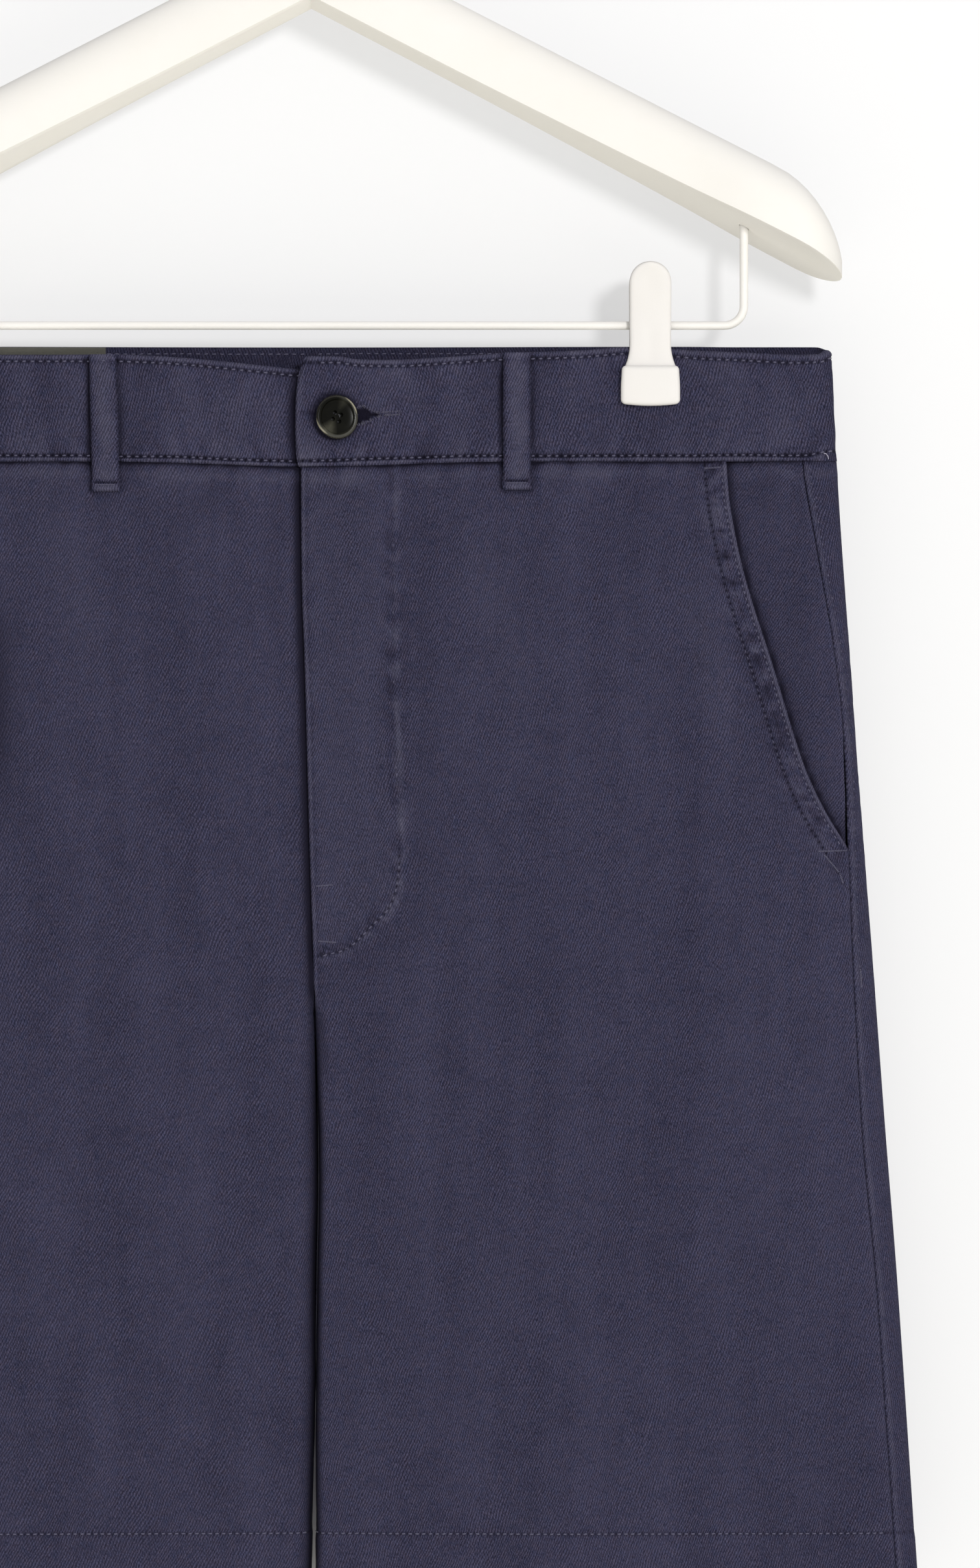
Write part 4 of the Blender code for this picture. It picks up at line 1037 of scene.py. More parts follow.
def fly_relief(fly, x, drop, from_inner, seed, holes):
    """Relief and rubbed paleness of the left front's fly: its folded edge, its stitched curve and its facing,
    with painted shade in the trough beside the curve and in the roll near the crotch.
    """
    nubs = 0.07 * noise(drop / 0.9, 0.5, seed + 72)
    closed = fade(drop, 262, 276)
    relief = closed * (rolled_edge(from_inner, 1.0) + (0.30 + nubs) * bump(from_inner - 1.1, 0.7))
    wear_and_shading = closed * (0.44 + 3.0 * nubs) * bump(from_inner - 1.0, 0.7)
    away, along = nearest(fly.line, x, drop)
    sewn = mix(0.25, 0.75, smooth(drop, FLY_CURVE - 12, FLY_CURVE))
    holes[..., 2] = np.where(np.abs(away) < 2.5, sewn, holes[..., 2])
    uneven = 0.62 + 0.38 * noise(along / 13, 0.5, seed + 73)
    tug = ripple(along, 9.0, seed + 74, away, 0.8)
    relief += 0.55 * uneven * (bump(away - 0.9, 1.5) - bump(away + 1.9, 1.6))
    relief += 0.34 * tug * bump(away + 1.0, 5.5)
    wear_and_shading += (0.85 + 0.65 * tug) * uneven * bump(away - 0.8, 1.2)
    # Painted shade in the trough beside the curve's ridge; the ridge's paleness is rubbed wear.
    wear_and_shading -= (0.34 - 0.30 * tug) * uneven * bump(away + 1.9, 1.5) + 0.10 * bump(away - 9, 8)
    facing = smooth(-away, -1.0, 3.0) * smooth(from_inner, 0.5, 3) * fade(drop, 236, 247)
    # The roll near the crotch has a real dip and painted shade.
    roll = bump(from_inner - 3.4, 1.5) * smooth(drop, 264, 272) * fade(drop, 286, 300)
    return relief + 0.24 * facing - 0.55 * roll, wear_and_shading + 0.08 * facing - 0.42 * roll


def front_relief(sign, x, drop):
    """Relief, rubbed paleness with painted light and shade, and needle holes of a front panel at any points
    of it.
    """
    inner, outer = front_edges(sign, drop)
    from_inner, from_outer = np.abs(x - inner), np.abs(outer - x)
    seed = 300 if sign > 0 else 340
    lines = front_lines(sign)
    relief, wear_and_shading, holes = seam_relief(lines.values(), x, drop, seed)
    lift, rub_and_shade = under_band(x, drop, seed + 60)
    relief += broad_relief(0, x, drop, seed + 50) + lift
    # Painted highlight on crease crests and painted shade in their troughs, and the rubbing and painted
    # shadow from under the waistband.
    wear_and_shading += 0.35 * creases(0, x, drop) * fade(drop, 150, 240) + rub_and_shade
    on_pocket = fade(drop, POCKET_BOTTOM - 2, POCKET_BOTTOM)
    relief += rolled_edge(from_outer, mix(0.7, 1.0, on_pocket)) + 0.30 * bump(from_outer - 1.3, 0.8)
    wear_and_shading += 0.62 * bump(from_outer - 0.9, 0.8) * on_pocket + 0.10 * bump(from_outer - 1.2, 1.0)
    rows = bump(from_outer - 5.4, 2.4) * fade(drop, POCKET_BOTTOM - 12, POCKET_BOTTOM - 2)
    # Between the pocket's rows: puckers with painted highlight on their crests and painted shade in their
    # hollows.
    ladder = ripple(drop + 0.4 * np.abs(x), 4.6, seed + 70)
    relief += rows * (0.10 + 0.52 * ladder)
    wear_and_shading += rows * (1.15 * ladder - 0.12)
    beyond = (1 - on_pocket) * bump(from_outer - 4.5, 3.5) * fade(drop, 212, 222)
    relief += beyond * (0.30 * noise(x / 2.4, drop / 2.4, seed + 71) - 0.20)
    wear_and_shading -= 0.16 * beyond
    if sign > 0:
        folds, rubs_and_shade = fly_relief(lines["fly"], x, drop, from_inner, seed, holes)
        relief, wear_and_shading = relief + folds, wear_and_shading + rubs_and_shade
        parted = 0.8 * bump(from_inner, 1.0)
    else:
        from_fly = x - centre(drop)
        # Painted shadow along the fly's edge on the right front, over a real dip.
        relief -= 0.75 * bump(from_fly - 0.2, 1.5) * fade(drop, 256, 268)
        wear_and_shading -= 1.15 * bump(from_fly + 0.7, 2.3) * fade(drop, 258, 270)
        # Painted shade darkening the trough at RIGHT_TROUGH_X.
        in_trough = bump(x - RIGHT_TROUGH_X, 9.5) * smooth(drop, 84, 140) * fade(drop, 144, 206)
        wear_and_shading -= 0.46 * in_trough
        parted = 0.9 * bump(from_inner, 1.5) + 0.35 * bump(from_inner, 4.5)
    # Painted shade on both legs' edges beside the gap between them.
    wear_and_shading -= parted * smooth(drop, 276, 318)
    return *loops_and_hem(0, x, drop, relief, wear_and_shading), holes


def front_point(sign, x, drop):
    return surface(sign, 0, x, sagged(x, drop), -lap_sink(x, drop) if sign < 0 else 0.0)


def front_panel(sign, material):
    drop = panel_rows()
    x = spread(*front_edges(sign, drop), EDGE, POCKET_SIDE, 2.05)
    drop = np.broadcast_to(drop[:, None], x.shape)
    relief, wear_and_shading, holes = front_relief(sign, x, drop)
    cloth_piece(
        f"front_{SIDES[sign]}", "front_twill", material, (0.262, 0.548), [f"waistband_{SIDES[sign]}_cloth"],
        front_point(sign, x, drop), sign, relief, wear_and_shading, drop, mix(CLOTH, HEM_THICK, in_hem(drop)),
        area=0.108, holes=holes, anchor=FRONT_ANCHOR,
    )


def round_side(start, width, roll, front_steps, back_steps):
    """Columns round the side fold, closest at its edge: those on the front, and those on the back."""
    front, back = (np.radians(np.linspace(0, 90, steps + 1))[1:] for steps in (front_steps, back_steps))
    return mix(start, width, np.sin(front)), width - roll[:, None] * (1 - np.cos(back))


def both_faces(front, back):
    """Columns on the front and then on the back, and which of them are on the back."""
    x = np.concatenate(front + back, axis=1)
    on_back = np.zeros(x.shape, bool)
    on_back[:, sum(part.shape[1] for part in front) :] = True
    return x, on_back


def back_columns(sign, drop):
    """Columns of a back panel: from the side seam round the fold, then to the middle or inseam."""
    width = half_width(drop)[:, None]
    start = side_seam(drop)[:, None] + CLOSE + np.array([0, 0.12, 0.35, 0.7, 1.2, 1.8, 2.4, 3.0])
    front, round_back = round_side(start[:, -1:], width, side_roll(drop), 10, 12)
    inner = centre(drop) + sign * leg_gap(drop)
    flat = sign * spread(sign * round_back[:, -1], inner, [0], EDGE, 2.6)[:, 1:]
    x, back = both_faces([start, front], [round_back, flat])
    return sign * x, back


def back_relief(sign, back, x, drop):
    """Relief, rubbed paleness and painted shade, and needle holes of a back panel, its strip beyond the side
    seam among them.
    """
    seed = 400 if sign > 0 else 440
    hem = hem_seam(sign, 246)
    row = Seam(side_line(sign), 0.16, 0.16, 5.5, FLY_PITCH, 0.12, -0.20)
    on_front = seam_relief((row, hem), x, drop, seed)
    on_back = seam_relief((hem,), x, drop, seed + 9)
    relief = np.where(back, on_back[0] + broad_relief(1, x, drop, seed + 50), on_front[0])
    wear_and_shading = np.where(back, on_back[1], on_front[1])
    holes = np.where(np.asarray(back)[..., None], on_back[2], on_front[2])
    lift, rub_and_shade = under_band(x, drop, seed + 60)
    from_seam = np.abs(x) - side_seam(drop) - CLOSE
    by_seam = np.where(back, 0.0, 1.0)
    nubs, wave = noise(drop / 1.1, 0.5, seed + 80), ripple(drop, 7, seed + 81)
    ridge = rolled_edge(from_seam, 0.8) + (0.42 + 0.10 * nubs + 0.12 * wave) * bump(from_seam - 1.4, 0.95)
    relief += lift + by_seam * ridge
    wear_and_shading += rub_and_shade + by_seam * (0.34 + 0.16 * nubs + 0.16 * wave) * bump(from_seam - 1.3, 0.9)
    from_middle = np.abs(x - centre(drop))
    by_middle = np.where(back, 1.0, 0.0) * fade(drop, 262, 280)
    ridge = rolled_edge(from_middle, 0.6) + 0.26 * bump(from_middle - 2.0, 1.5)
    relief += by_middle * (ridge + 0.34 * ripple(drop, 9, seed + 90) * bump(from_middle, 7))
    wear_and_shading += by_middle * 0.14 * bump(from_middle - 1.8, 1.4)
    return *loops_and_hem(back, x, drop, relief, wear_and_shading), holes


def back_panel(sign, material):
    drop = panel_rows()
    x, back = back_columns(sign, drop)
    drop = np.broadcast_to(drop[:, None], x.shape)
    relief, wear_and_shading, holes = back_relief(sign, back, x, drop)
    cloth_piece(
        f"back_{SIDES[sign]}", "back_twill", material, (0.290, 0.560), [f"waistband_{SIDES[sign]}_cloth"],
        surface(sign, back, x, drop), sign, relief, wear_and_shading, drop, mix(CLOTH, HEM_THICK, in_hem(drop)),
        area=0.132, holes=holes, anchor=BACK_ANCHOR, u_start=BACK_RUN - x[:, BACK_ANCHOR : BACK_ANCHOR + 1],
    )


def band_columns(sign):
    """Columns of a waistband half: from its front end, round the side and to the back's middle."""
    down = spread(0, 42, BAND_TOP_ROWS, BAND_BOTTOM_ROWS, 1.3)[0] / 42
    near = mix(6, BAND_SEAM, down)
    turn_from = CLIP_X + 35
    start = overlap_end(near) if sign > 0 else np.full(down.shape, UNDERLAP)
    front = spread(start, np.full(down.shape, sign * turn_from), EDGE[:-2], [0], 1.6)
    width = (half_width(near) + BAND_PROUD)[:, None]
    front_side, back_side = (sign * part for part in round_side(turn_from, width, side_roll(near), 23, 11))
    flat = spread(back_side[:, -1], np.full(down.shape, sign * CLOSE / 2), [0], EDGE[:5], 2.4)[:, 1:]
    x, back = both_faces([front, front_side], [back_side, flat])
    down = np.broadcast_to(down[:, None], x.shape)
    drop = mix(band_top(sign, back, x), band_bottom(back, x), down)
    meets = (half_width(drop) + BAND_PROUD) / width
    return x * mix(1, meets, smooth(np.abs(x), 160, 196)), back, down


def band_under(sign, back, x):
    """1 where the right half's end lies under the overlap."""
    return np.where(back, 0.0, smooth(x, -32, -8)) if sign < 0 else np.zeros(np.shape(x))


def band_point(sign, back, x, drop):
    points = surface(sign, back, x, drop, BAND_PROUD - UNDERLAP_SINK * band_under(sign, back, x))
    points[..., 0] -= sign * mix(0.5, 1.0, smooth(drop, 10, 46)) * smooth(np.abs(x), 168, 209)
    return points


def band_rows(sign, back, x):
    """The drops of the upper and lower rows of stitches round a waistband half."""
    wander = 0.35 * noise(x / 26, 0.5, 21)
    upper = 2.7 + 0.6 * smooth(np.abs(x), 120, 170) + 0.5 * wander
    rise = 1.7 * smooth(np.abs(x), 199, 211)
    return band_top(sign, back, x) + upper, band_bottom(back, x) - 2.4 - rise + wander


def band_run(sign, back, x):
    """How far round a waistband half a place is, from the front's middle."""
    return np.where(back, BAND_RUN - np.abs(x), sign * x)


def hole_middle(along):
    return BUTTON_DROP - 0.045 * along


def hole_half(along, off):
    """How far the buttonhole's upper or lower lip stands open, from the button to the hole's end."""
    upper = np.interp(along, (6.5, 8.4, 10.8, 13.2, 15.0, 17.0), (2.2, 2.4, 3.1, 1.7, 0.6, 0.05))
    lower = np.interp(along, (6.5, 8.4, 13.2, 15.5, 17.5, 19.0), (3.9, 3.6, 2.1, 1.2, 0.5, 0.05))
    return np.where(np.asarray(off) < 0, upper, lower)


def button_end(back, x, drop, seed):
    """The waistband's overlap: its end, the dip under the button and the buttonhole's lips and opening, with
    a painted shadow round the button and painted shade in the opening and the pull crease.
    """
    front = np.where(back, 0.0, 1.0)
    near_end = np.where(back, 99.0, x - overlap_end(drop))
    along, away = x - BUTTON_X, drop - BUTTON_DROP
    off = drop - hole_middle(along)
    beside = np.abs(off)
    half = hole_half(along, off) * smooth(along, 0, 6)
    inside = smooth(half - beside, -0.1, 0.7) * smooth(along, 3, 6) * fade(along, 17.5, 19.0)
    lips = bump(beside - half - 0.5, 0.9) * smooth(along, 5.5, 8) * fade(along, 25.0, 26.6)
    specks = noise(x / 0.42, drop / 0.42, seed + 12)
    outside = np.hypot(along + 0.4, away - 0.3) - 8.6
    pull = bump(away - 0.1 * along, 1.1) * smooth(x, -5.5, -3) * fade(x, 0, 3)
    dip = 0.50 * bump(np.hypot(along, away), 10) + 1.5 * bump(np.hypot((along - 7) / 5.5, away / 6.5), 1.0)
    relief = rolled_edge(near_end, 1.5) + 0.16 * bump(near_end - 1.5, 0.9) - dip - 0.5 * pull
    relief += (0.42 + 0.22 * specks) * lips - 1.3 * inside
    # Painted shade in the buttonhole's opening and the pull crease; the lips' specks are wear.
    wear_and_shading = (0.45 * specks - 0.15) * lips - 1.4 * inside - 0.4 * pull
    # Painted shadow ringing the button.
    wear_and_shading -= 0.95 * bump(outside, 1.5) + 0.15 * bump(outside, 4.0)
    rub_and_shade = 0.40 * bump(near_end - 1.0, 0.9)
    return front * relief, front * wear_and_shading + rub_and_shade, 1 - front * np.maximum(lips, inside)


def band_relief(sign, back, x, drop):
    """Relief, rubbed paleness with painted light and shade, and needle holes of a waistband half."""
    seed = 500 if sign > 0 else 540
    upper, lower = band_rows(sign, back, x)
    from_top, from_bottom = drop - band_top(sign, back, x), band_bottom(back, x) - drop
    off_upper, off_lower = drop - upper, drop - lower
    s = band_run(sign, back, x)
    nubs = noise(s / 0.95, 0.5, seed + 10)
    at_side = 1 - 0.85 * smooth(np.abs(x), 200, 209)
    cord = (0.8 + 0.2 * noise(s / 5, 0.5, seed + 11)) * at_side
    relief = rolled_edge(from_top, 1.5) + at_side * rolled_edge(from_bottom, 0.9)
    relief += -0.46 * bump(off_upper, 0.7) + 0.26 * bump(off_upper + 1.6, 0.9)
    relief += (0.46 + 0.07 * nubs) * cord * bump(off_lower - 1.25, 0.62)
    relief -= 0.66 * at_side * bump(off_lower, 0.62)
    low = ripple(s, 7.5, seed, off_lower, 0.35) * np.exp(-np.maximum(-off_lower - 0.5, 0) / 8.0)
    high = ripple(s, 8.5, seed + 3, off_upper, -0.3) * np.exp(-np.maximum(off_upper - 0.5, 0) / 7.0)
    relief += 0.60 * low * smooth(from_bottom, 0.2, 3.0) + 0.38 * high * smooth(from_top, 0.2, 3.0)
    relief += 0.50 * noise(s / 12, drop / 40, seed + 5) + 0.22 * noise(s / 30, drop / 5.5, seed + 6)
    wear_and_shading = (0.62 + 0.34 * nubs) * cord * bump(off_lower - 1.35, 0.6)
    wear_and_shading += (0.50 + 0.20 * nubs) * bump(from_top - 0.9, 0.8)
    # Pucker tone: paler crests and darker hollows, partly rubbed wear and partly painted light and shade.
    wear_and_shading += 0.62 * low + 0.46 * high + 0.16 * noise(s / 9, drop / 24, seed + 9)
    # Painted shade along the stitch rows' channels.
    wear_and_shading -= 0.55 * at_side * bump(off_lower - 0.1, 0.7) + 0.34 * bump(off_upper, 0.7)
    # Painted shadow: the under half darkened beside the overlap's end, and the band beside the loops.
    under = band_under(sign, back, x) * bump(x - overlap_end(drop) + 0.7, 2.4)
    gutter = beside_loops(back, x, drop)
    relief -= 0.5 * under + 0.35 * gutter
    wear_and_shading -= 1.15 * (under + gutter)
    on_top = from_top < from_bottom
    off = np.where(on_top, off_upper, off_lower)
    holes = np.stack([s / BAND_PITCH, off, np.where(on_top, 0.8, 1.0)], axis=-1)
    if sign > 0:
        worked, rub_and_shade, clear = button_end(back, x, drop, seed)
        relief, wear_and_shading = relief + worked, wear_and_shading + rub_and_shade
        holes[..., 2] *= clear
    return relief, wear_and_shading, holes


def waistband(sign, material):
    x, back, down = band_columns(sign)
    drop = mix(band_top(sign, back, x), band_bottom(back, x), down)
    relief, wear_and_shading, holes = band_relief(sign, back, x, drop)
    side = SIDES[sign]
    cloth_piece(
        f"waistband_{side}", "band_twill", material, (0.455, 0.050),
        [f"clip_front_{side}", f"clip_back_{side}"],
        band_point(sign, back, x, drop), sign, relief, wear_and_shading, drop, BAND,
        # The band's inner face is darkened as painted shade.
        area=0.0225, holes=holes, u_start=x[:, :1], inside_shade=-0.36,
    )


def loop_seed(on_back, x):
    return 600 + int(abs(x)) + 5 * on_back


def loop_point(on_back, x, across, down):
    """Points of a belt loop's face, from how far across and down it they are."""
    proud = BAND_PROUD * fade(down, 0.84, 0.93) + 0.45 + LOOP_THICK
    proud = proud + LOOP_BOW * np.sin(np.pi * clamp(down)) ** 2 - 0.5 * bump(down - 0.955, 0.03)
    drop = loop_top(on_back, x) + LOOP_LENGTH * down
    return surface(1 if x > 0 else -1, on_back, x + loop_lean(x, down) + across, drop, proud)


def loop_relief(across, down, seed):
    """Relief and rubbed paleness of a belt loop: rolled sides, a stitched fold at its foot, a row at its top,
    with painted shade at its sides, in the slot at its foot and in the dip near its top.
    """
    beside = np.abs(across)
    from_side, from_top, from_end = LOOP_HALF - beside, LOOP_LENGTH * down, LOOP_LENGTH * (1 - down)
    slot = fade(beside, 3.9, 4.9) * bump(from_end - 3.5, 0.62)
    row = fade(beside, 4.2, 5.0) * bump(from_end - 2.6, 0.45)
    relief = rolled_edge(from_side, 1.7) + rolled_edge(from_end, 0.9)
    relief += 0.45 * (1 - (across / LOOP_HALF) ** 2) + 0.15 * bump(from_side - 1.7, 1.0)
    relief += 0.12 * row - 0.85 * slot + 0.34 * bump(from_end - 1.3, 0.9)
    relief -= 0.30 * bump(from_top - 2.9 + 0.02 * across**2, 0.5) * smooth(across, -5, -2)
    relief += 0.26 * noise(across / 5, down * 9, seed)
    relief += 0.14 * ripple(from_top, 6, seed + 1) * bump(from_side, 2.4)
    # Paler middle, end and top are rubbed wear; the sides, the dip near the top and the slot get painted
    # shade.
    wear_and_shading = 0.42 * bump(across - 0.3, 3.2) - 0.35 * bump(from_side, 0.9) + 0.30 * bump(from_end - 1.1, 0.8)
    wear_and_shading += 0.30 * bump(from_top - 0.9, 0.9) - 0.25 * bump(from_top - 2.9, 0.6)
    wear_and_shading += 0.16 * noise(across / 3, down * 12, seed + 2) + 0.06 - 1.15 * slot + 0.25 * row
    return relief, wear_and_shading


def belt_loop(node, on_back, x, material):
    across = spread(-LOOP_HALF, LOOP_HALF, LOOP_SIDE, LOOP_SIDE, 0.8)[0]
    foot_rows = [0, 0.2, 0.5, 0.9, 1.4, 2.0, 2.5, 2.9, 3.4, 4.1]
    down = spread(0, LOOP_LENGTH, [0, 0.4, 1.0, 1.8, 2.8], foot_rows, 1.2)[0] / LOOP_LENGTH
    across, down = np.meshgrid(across, down)
    foot = smooth(down, 0.90, 0.94) - 1.2 * smooth(down, 0.985, 1.0)
    cloth_piece(
        node, "loop_twill", material, (0.0112, 0.055), [f"waistband_{SIDES[1 if x > 0 else -1]}_cloth"],
        loop_point(on_back, x, across * (1 + 0.06 * foot), down), -1 if on_back else 1,
        *loop_relief(across, down, loop_seed(on_back, x)), down * LOOP_LENGTH, LOOP_THICK,
        held="stretched", u_start=across[:, :1] + x, u_way=1,
    )


def facing_sink(x, drop):
    seam = side_seam(drop)
    edge = np.minimum(pocket_edge(drop), seam - 4)
    run = clamp((np.abs(x) - edge) / (seam - edge))
    return FACING_SINK * (1 - fade(drop, 180, 198) * smooth(run))


def bag_edge(drop):
    run = clamp((drop - 180) / (BAG_BOTTOM - 180))
    return np.minimum(pocket_edge(drop) - 1.0, 203 - 36 * run**2)


def pocket_facing(sign, material):
    drop = spread(BAND_SEAM + CLOSE, BAG_BOTTOM, [0, 0.4, 1.0, 1.8, 2.8, 4.2, 6.0], [0], 2.4)[0]
    seam = side_seam(drop) - CLOSE - 0.8 * smooth(drop, 146, 172)
    outer = np.where(drop > POCKET_BOTTOM, bag_edge(drop), seam)
    inner = np.full(drop.shape, POCKET_EDGE["x"][0] - FACING_HIDDEN)
    x = sign * spread(inner, outer, [0], FINE_EDGE + [2.2, 3.2], 2.2)
    drop = np.broadcast_to(drop[:, None], x.shape)
    seed = 700 if sign > 0 else 740
    lift, rub_and_shade = under_band(x, drop, seed)
    from_seam = np.abs(sign * outer[:, None] - x)
    from_mouth = np.abs(x) - np.minimum(pocket_edge(drop), side_seam(drop) - 4)
    pinch, along = nearest(FACING_PINCH, np.abs(x), drop)
    pinch = bump(pinch, 1.7) * smooth(along, 0, 5) * fade(along, 14, 22)
    relief = 0.6 * lift + rolled_edge(from_seam, 0.7) + 0.10 * noise(x / 9, drop / 20, seed + 1)
    relief += 0.14 * ripple(drop, 9, seed + 2) * bump(from_seam, 5) + 0.45 * pinch
    wear_and_shading = 0.7 * rub_and_shade + 0.16 * bump(from_seam - 0.8, 0.7) - 0.08 + 0.22 * pinch
    # Painted shadow of the pocket's edge on the facing.
    wear_and_shading -= 0.95 * bump(from_mouth - 0.2, 1.3) + 0.25 * bump(from_mouth, 4.5)
    side = SIDES[sign]
    cloth_piece(
        f"pocket_facing_{side}", "facing_twill", material, (0.090, 0.200), [f"waistband_{side}_cloth"],
        surface(sign, 0, x, sagged(x, drop), -facing_sink(x, drop)), sign, relief, wear_and_shading, drop, CLOTH,
        area=0.0125,
    )


def label_point(x, drop, lift):
    """Points inside the back waistband, lifted off its inner face."""
    depth = surface(-1, True, x, drop, BAND_PROUD)[..., 1] - BAND - lift
    return np.stack([x, depth, -HOOK_TO_WAIST - drop], axis=-1)


def label(material, thread):
    """The woven label inside the back waistband, bare, its ends turned under and sewn down."""
    low, high = (np.array(corner) * 1000 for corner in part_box("label"))
    x = spread(high[0], low[0], FINE_EDGE, FINE_EDGE, 2.0)[0]
    drop = spread(0.2, -low[2] - HOOK_TO_WAIST - 0.6, FINE_EDGE, FINE_EDGE, 1.8)[0]
    x, drop = np.meshgrid(x, drop)
    from_edge = np.minimum(np.minimum(high[0] - x, x - low[0]), np.minimum(drop - 0.2, drop.max() - drop))
    relief = rolled_edge(from_edge, 0.4) + 0.12 * bump(from_edge - 1.0, 0.7)
    relief += 0.10 * noise(x / 11, drop / 9, 811) - 0.10 * bump(from_edge - 2.2, 0.5)
    cloth_piece(
        "label", "label", material, (0.0604, 0.0376), ["waistband_right_cloth"],
        label_point(x, drop, 0.75), -1, relief, 0.0, drop, LABEL_THICK,
    )
    rows = []
    left, right = high[0] - 2, low[0] + 2
    upper, lower = LABEL_ROWS
    for line in (((left, upper), (right, upper)), ((right, lower), (left, lower))):
        points = label_point(*along_line(line).T, 0.72)
        inward = np.tile([0.0, -1.0, 0.0], (len(points), 1))
        rows.append(stitch_row(points, inward, 2.4, 1.6, 0.16, 0.05))
    stitch_object("stitches_label", rows, thread, "label")


# ---- stitching ----
def panel_stitches(sign, thread):
    """Every row and bartack on a front panel, on the strip beyond its side seam, and the back's hem."""
    rows = []
    front = partial(front_point, sign), partial(front_relief, sign)
    beyond = partial(surface, sign, False), partial(back_relief, sign, False)
    behind = partial(surface, sign, True), partial(back_relief, sign, True)

    def sew(face, path, **kind):
        rows.append(stitch_row(*on_surface(face[0], path, face[1]), **kind))

    for name, seam in front_lines(sign).items():
        path = along_line(seam.line)
        run = run_of(path)
        inside = path[:, 1] > BAND_SEAM + 1.5
        if name == "hem":
            inside = np.abs(path[:, 0]) < side_seam(HEM_ROW) - 1
        path, run = path[inside], run[inside]
        on_curve = (path[:, 1] > FLY_CURVE) & (name == "fly")
        for part, lift in ((on_curve, 0.02), (~on_curve, seam.lift)):
            if part.any():
                sew(front, path[part], pitch=seam.pitch, lift=lift, run=run[part])
    for (ax, ad), (bx, bd) in POCKET_TACKS:
        sew(front, along_line(((sign * ax, ad), (sign * bx, bd)), 0.3), **TACK, radius=0.34, lift=-0.05)
    for ends in FLY_TACKS if sign > 0 else ():
        sew(front, along_line(ends, 0.3), **TACK, radius=0.34, lift=-0.05)
    path = along_line(side_line(sign))
    sew(beyond, path, pitch=FLY_PITCH, length=1.2, lift=-0.20, run=run_of(path))
    x = side_seam(255.0) + 2.5
    path = along_line([(sign * x, 250.5), (sign * (x + 0.3), 258.0)], 0.3)
    sew(beyond, path, **TACK, radius=0.32, lift=0.1)
    x = np.linspace(3, 226, 500)
    sew(behind, line_of(sign * x, np.full(x.shape, HEM_ROW)), run=x - 1.0)
    stitch_object(f"stitches_{SIDES[sign]}", rows, thread, "front_twill")


def band_stitches(sign, thread):
    """The two rows round a waistband half, and the upper row again on its inside at the back."""
    columns, on_back, _ = band_columns(sign)
    rows = []
    for lower, level in enumerate((8, -8)):
        x, back = columns[level], on_back[0]
        drop = band_rows(sign, back, x)[lower]
        if sign > 0:
            clear = back | (x > overlap_end(drop) + 2.2)
            x, back, drop = x[clear], back[clear], drop[clear]
        base = band_point(sign, back, x, drop)
        below = band_point(sign, back, x, drop + 0.05)
        normal = unit(np.cross(below - base, np.gradient(base, axis=0)) * sign)
        outer = base + normal * band_relief(sign, back, x, drop)[0][:, None]
        run = band_run(sign, back, x)
        rows.append(stitch_row(outer, normal, BAND_PITCH, 1.7, THREAD + 0.05, 0.08, run))
        if not lower:
            inner = base[back] - normal[back] * BAND
            rows.append(stitch_row(inner, -normal[back], BAND_PITCH, 2.0, 0.26, 0.02, run[back]))
    stitch_object(f"stitches_waistband_{SIDES[sign]}", rows, thread, "band_twill")


def buttonhole_stitches(thread):
    """Close purl stitches along both lips of the buttonhole."""
    rows = []
    chance = np.random.default_rng(71)
    for along in np.arange(7.2, 26.2, 0.46):
        for lip in (-1, 1):
            reach = np.array([-0.7, -0.25, 0.3, 0.8]) * (0.8 + 0.35 * chance.uniform(-1, 1))
            slant = 0.35 * np.array([-1, -0.4, 0.4, 1]) + 0.2 * chance.uniform(-1, 1)
            half = float(hole_half(along, lip)) + 0.5
            path = line_of(BUTTON_X + along + slant, hole_middle(along) + lip * (half + reach))
            if chance.uniform() < 0.8:
                rows.append(short_stitch(path))
    stitch_object("stitches_buttonhole", rows, thread, "band_twill")


def short_stitch(path):
    base, normal = on_surface(partial(band_point, 1, False), path)
    relief = band_relief(1, False, *path.T)[0]
    base = base + normal * np.maximum(relief, relief.max() - 0.5)[:, None]
    run = run_of(base)
    return stitch_row(base, normal, run[-1] * 0.999, run[-1] * 0.94, 0.16, -0.04, run)


def loop_stitches(thread):
    """The close rows that tack each loop at its foot, and a short piece of thread at its top."""
    rows = []
    for _, on_back, x in LOOPS:
        def point_at(across, drop):
            return loop_point(on_back, x, across, drop / LOOP_LENGTH)

        def relief_at(across, drop):
            return loop_relief(across, drop / LOOP_LENGTH, loop_seed(on_back, x))

        for start, end, drop, pitch, length, radius in (
            (-4.3, 4.3, LOOP_LENGTH - 2.6, *TACK.values(), 0.24),
            (-1.0, 4.6, 2.6, 3.0, 1.8, 0.2),
        ):
            path = line_of(np.linspace(start, end, 60), np.full(60, drop))
            rows.append(stitch_row(*on_surface(point_at, path, relief_at), pitch, length, radius, 0.05))
    stitch_object("stitches_belt_loops", rows, thread, "loop_twill")


def thread_tail(thread):
    """The cut end of the waistband's thread, curling out near the left side."""
    x, drop = np.array([(206.6, 43.2), (207.6, 43.5), (208.3, 44.4), (208.6, 45.6)]).T
    lift = band_relief(1, False, x, drop)[0] + 0.6
    base = band_point(1, False, x, drop) + np.array([0.5, -0.8, 0.0]) * lift[:, None]
    wire("thread_tail", along_line(base, 0.25), 0.34, thread, "band_twill", sides=2)


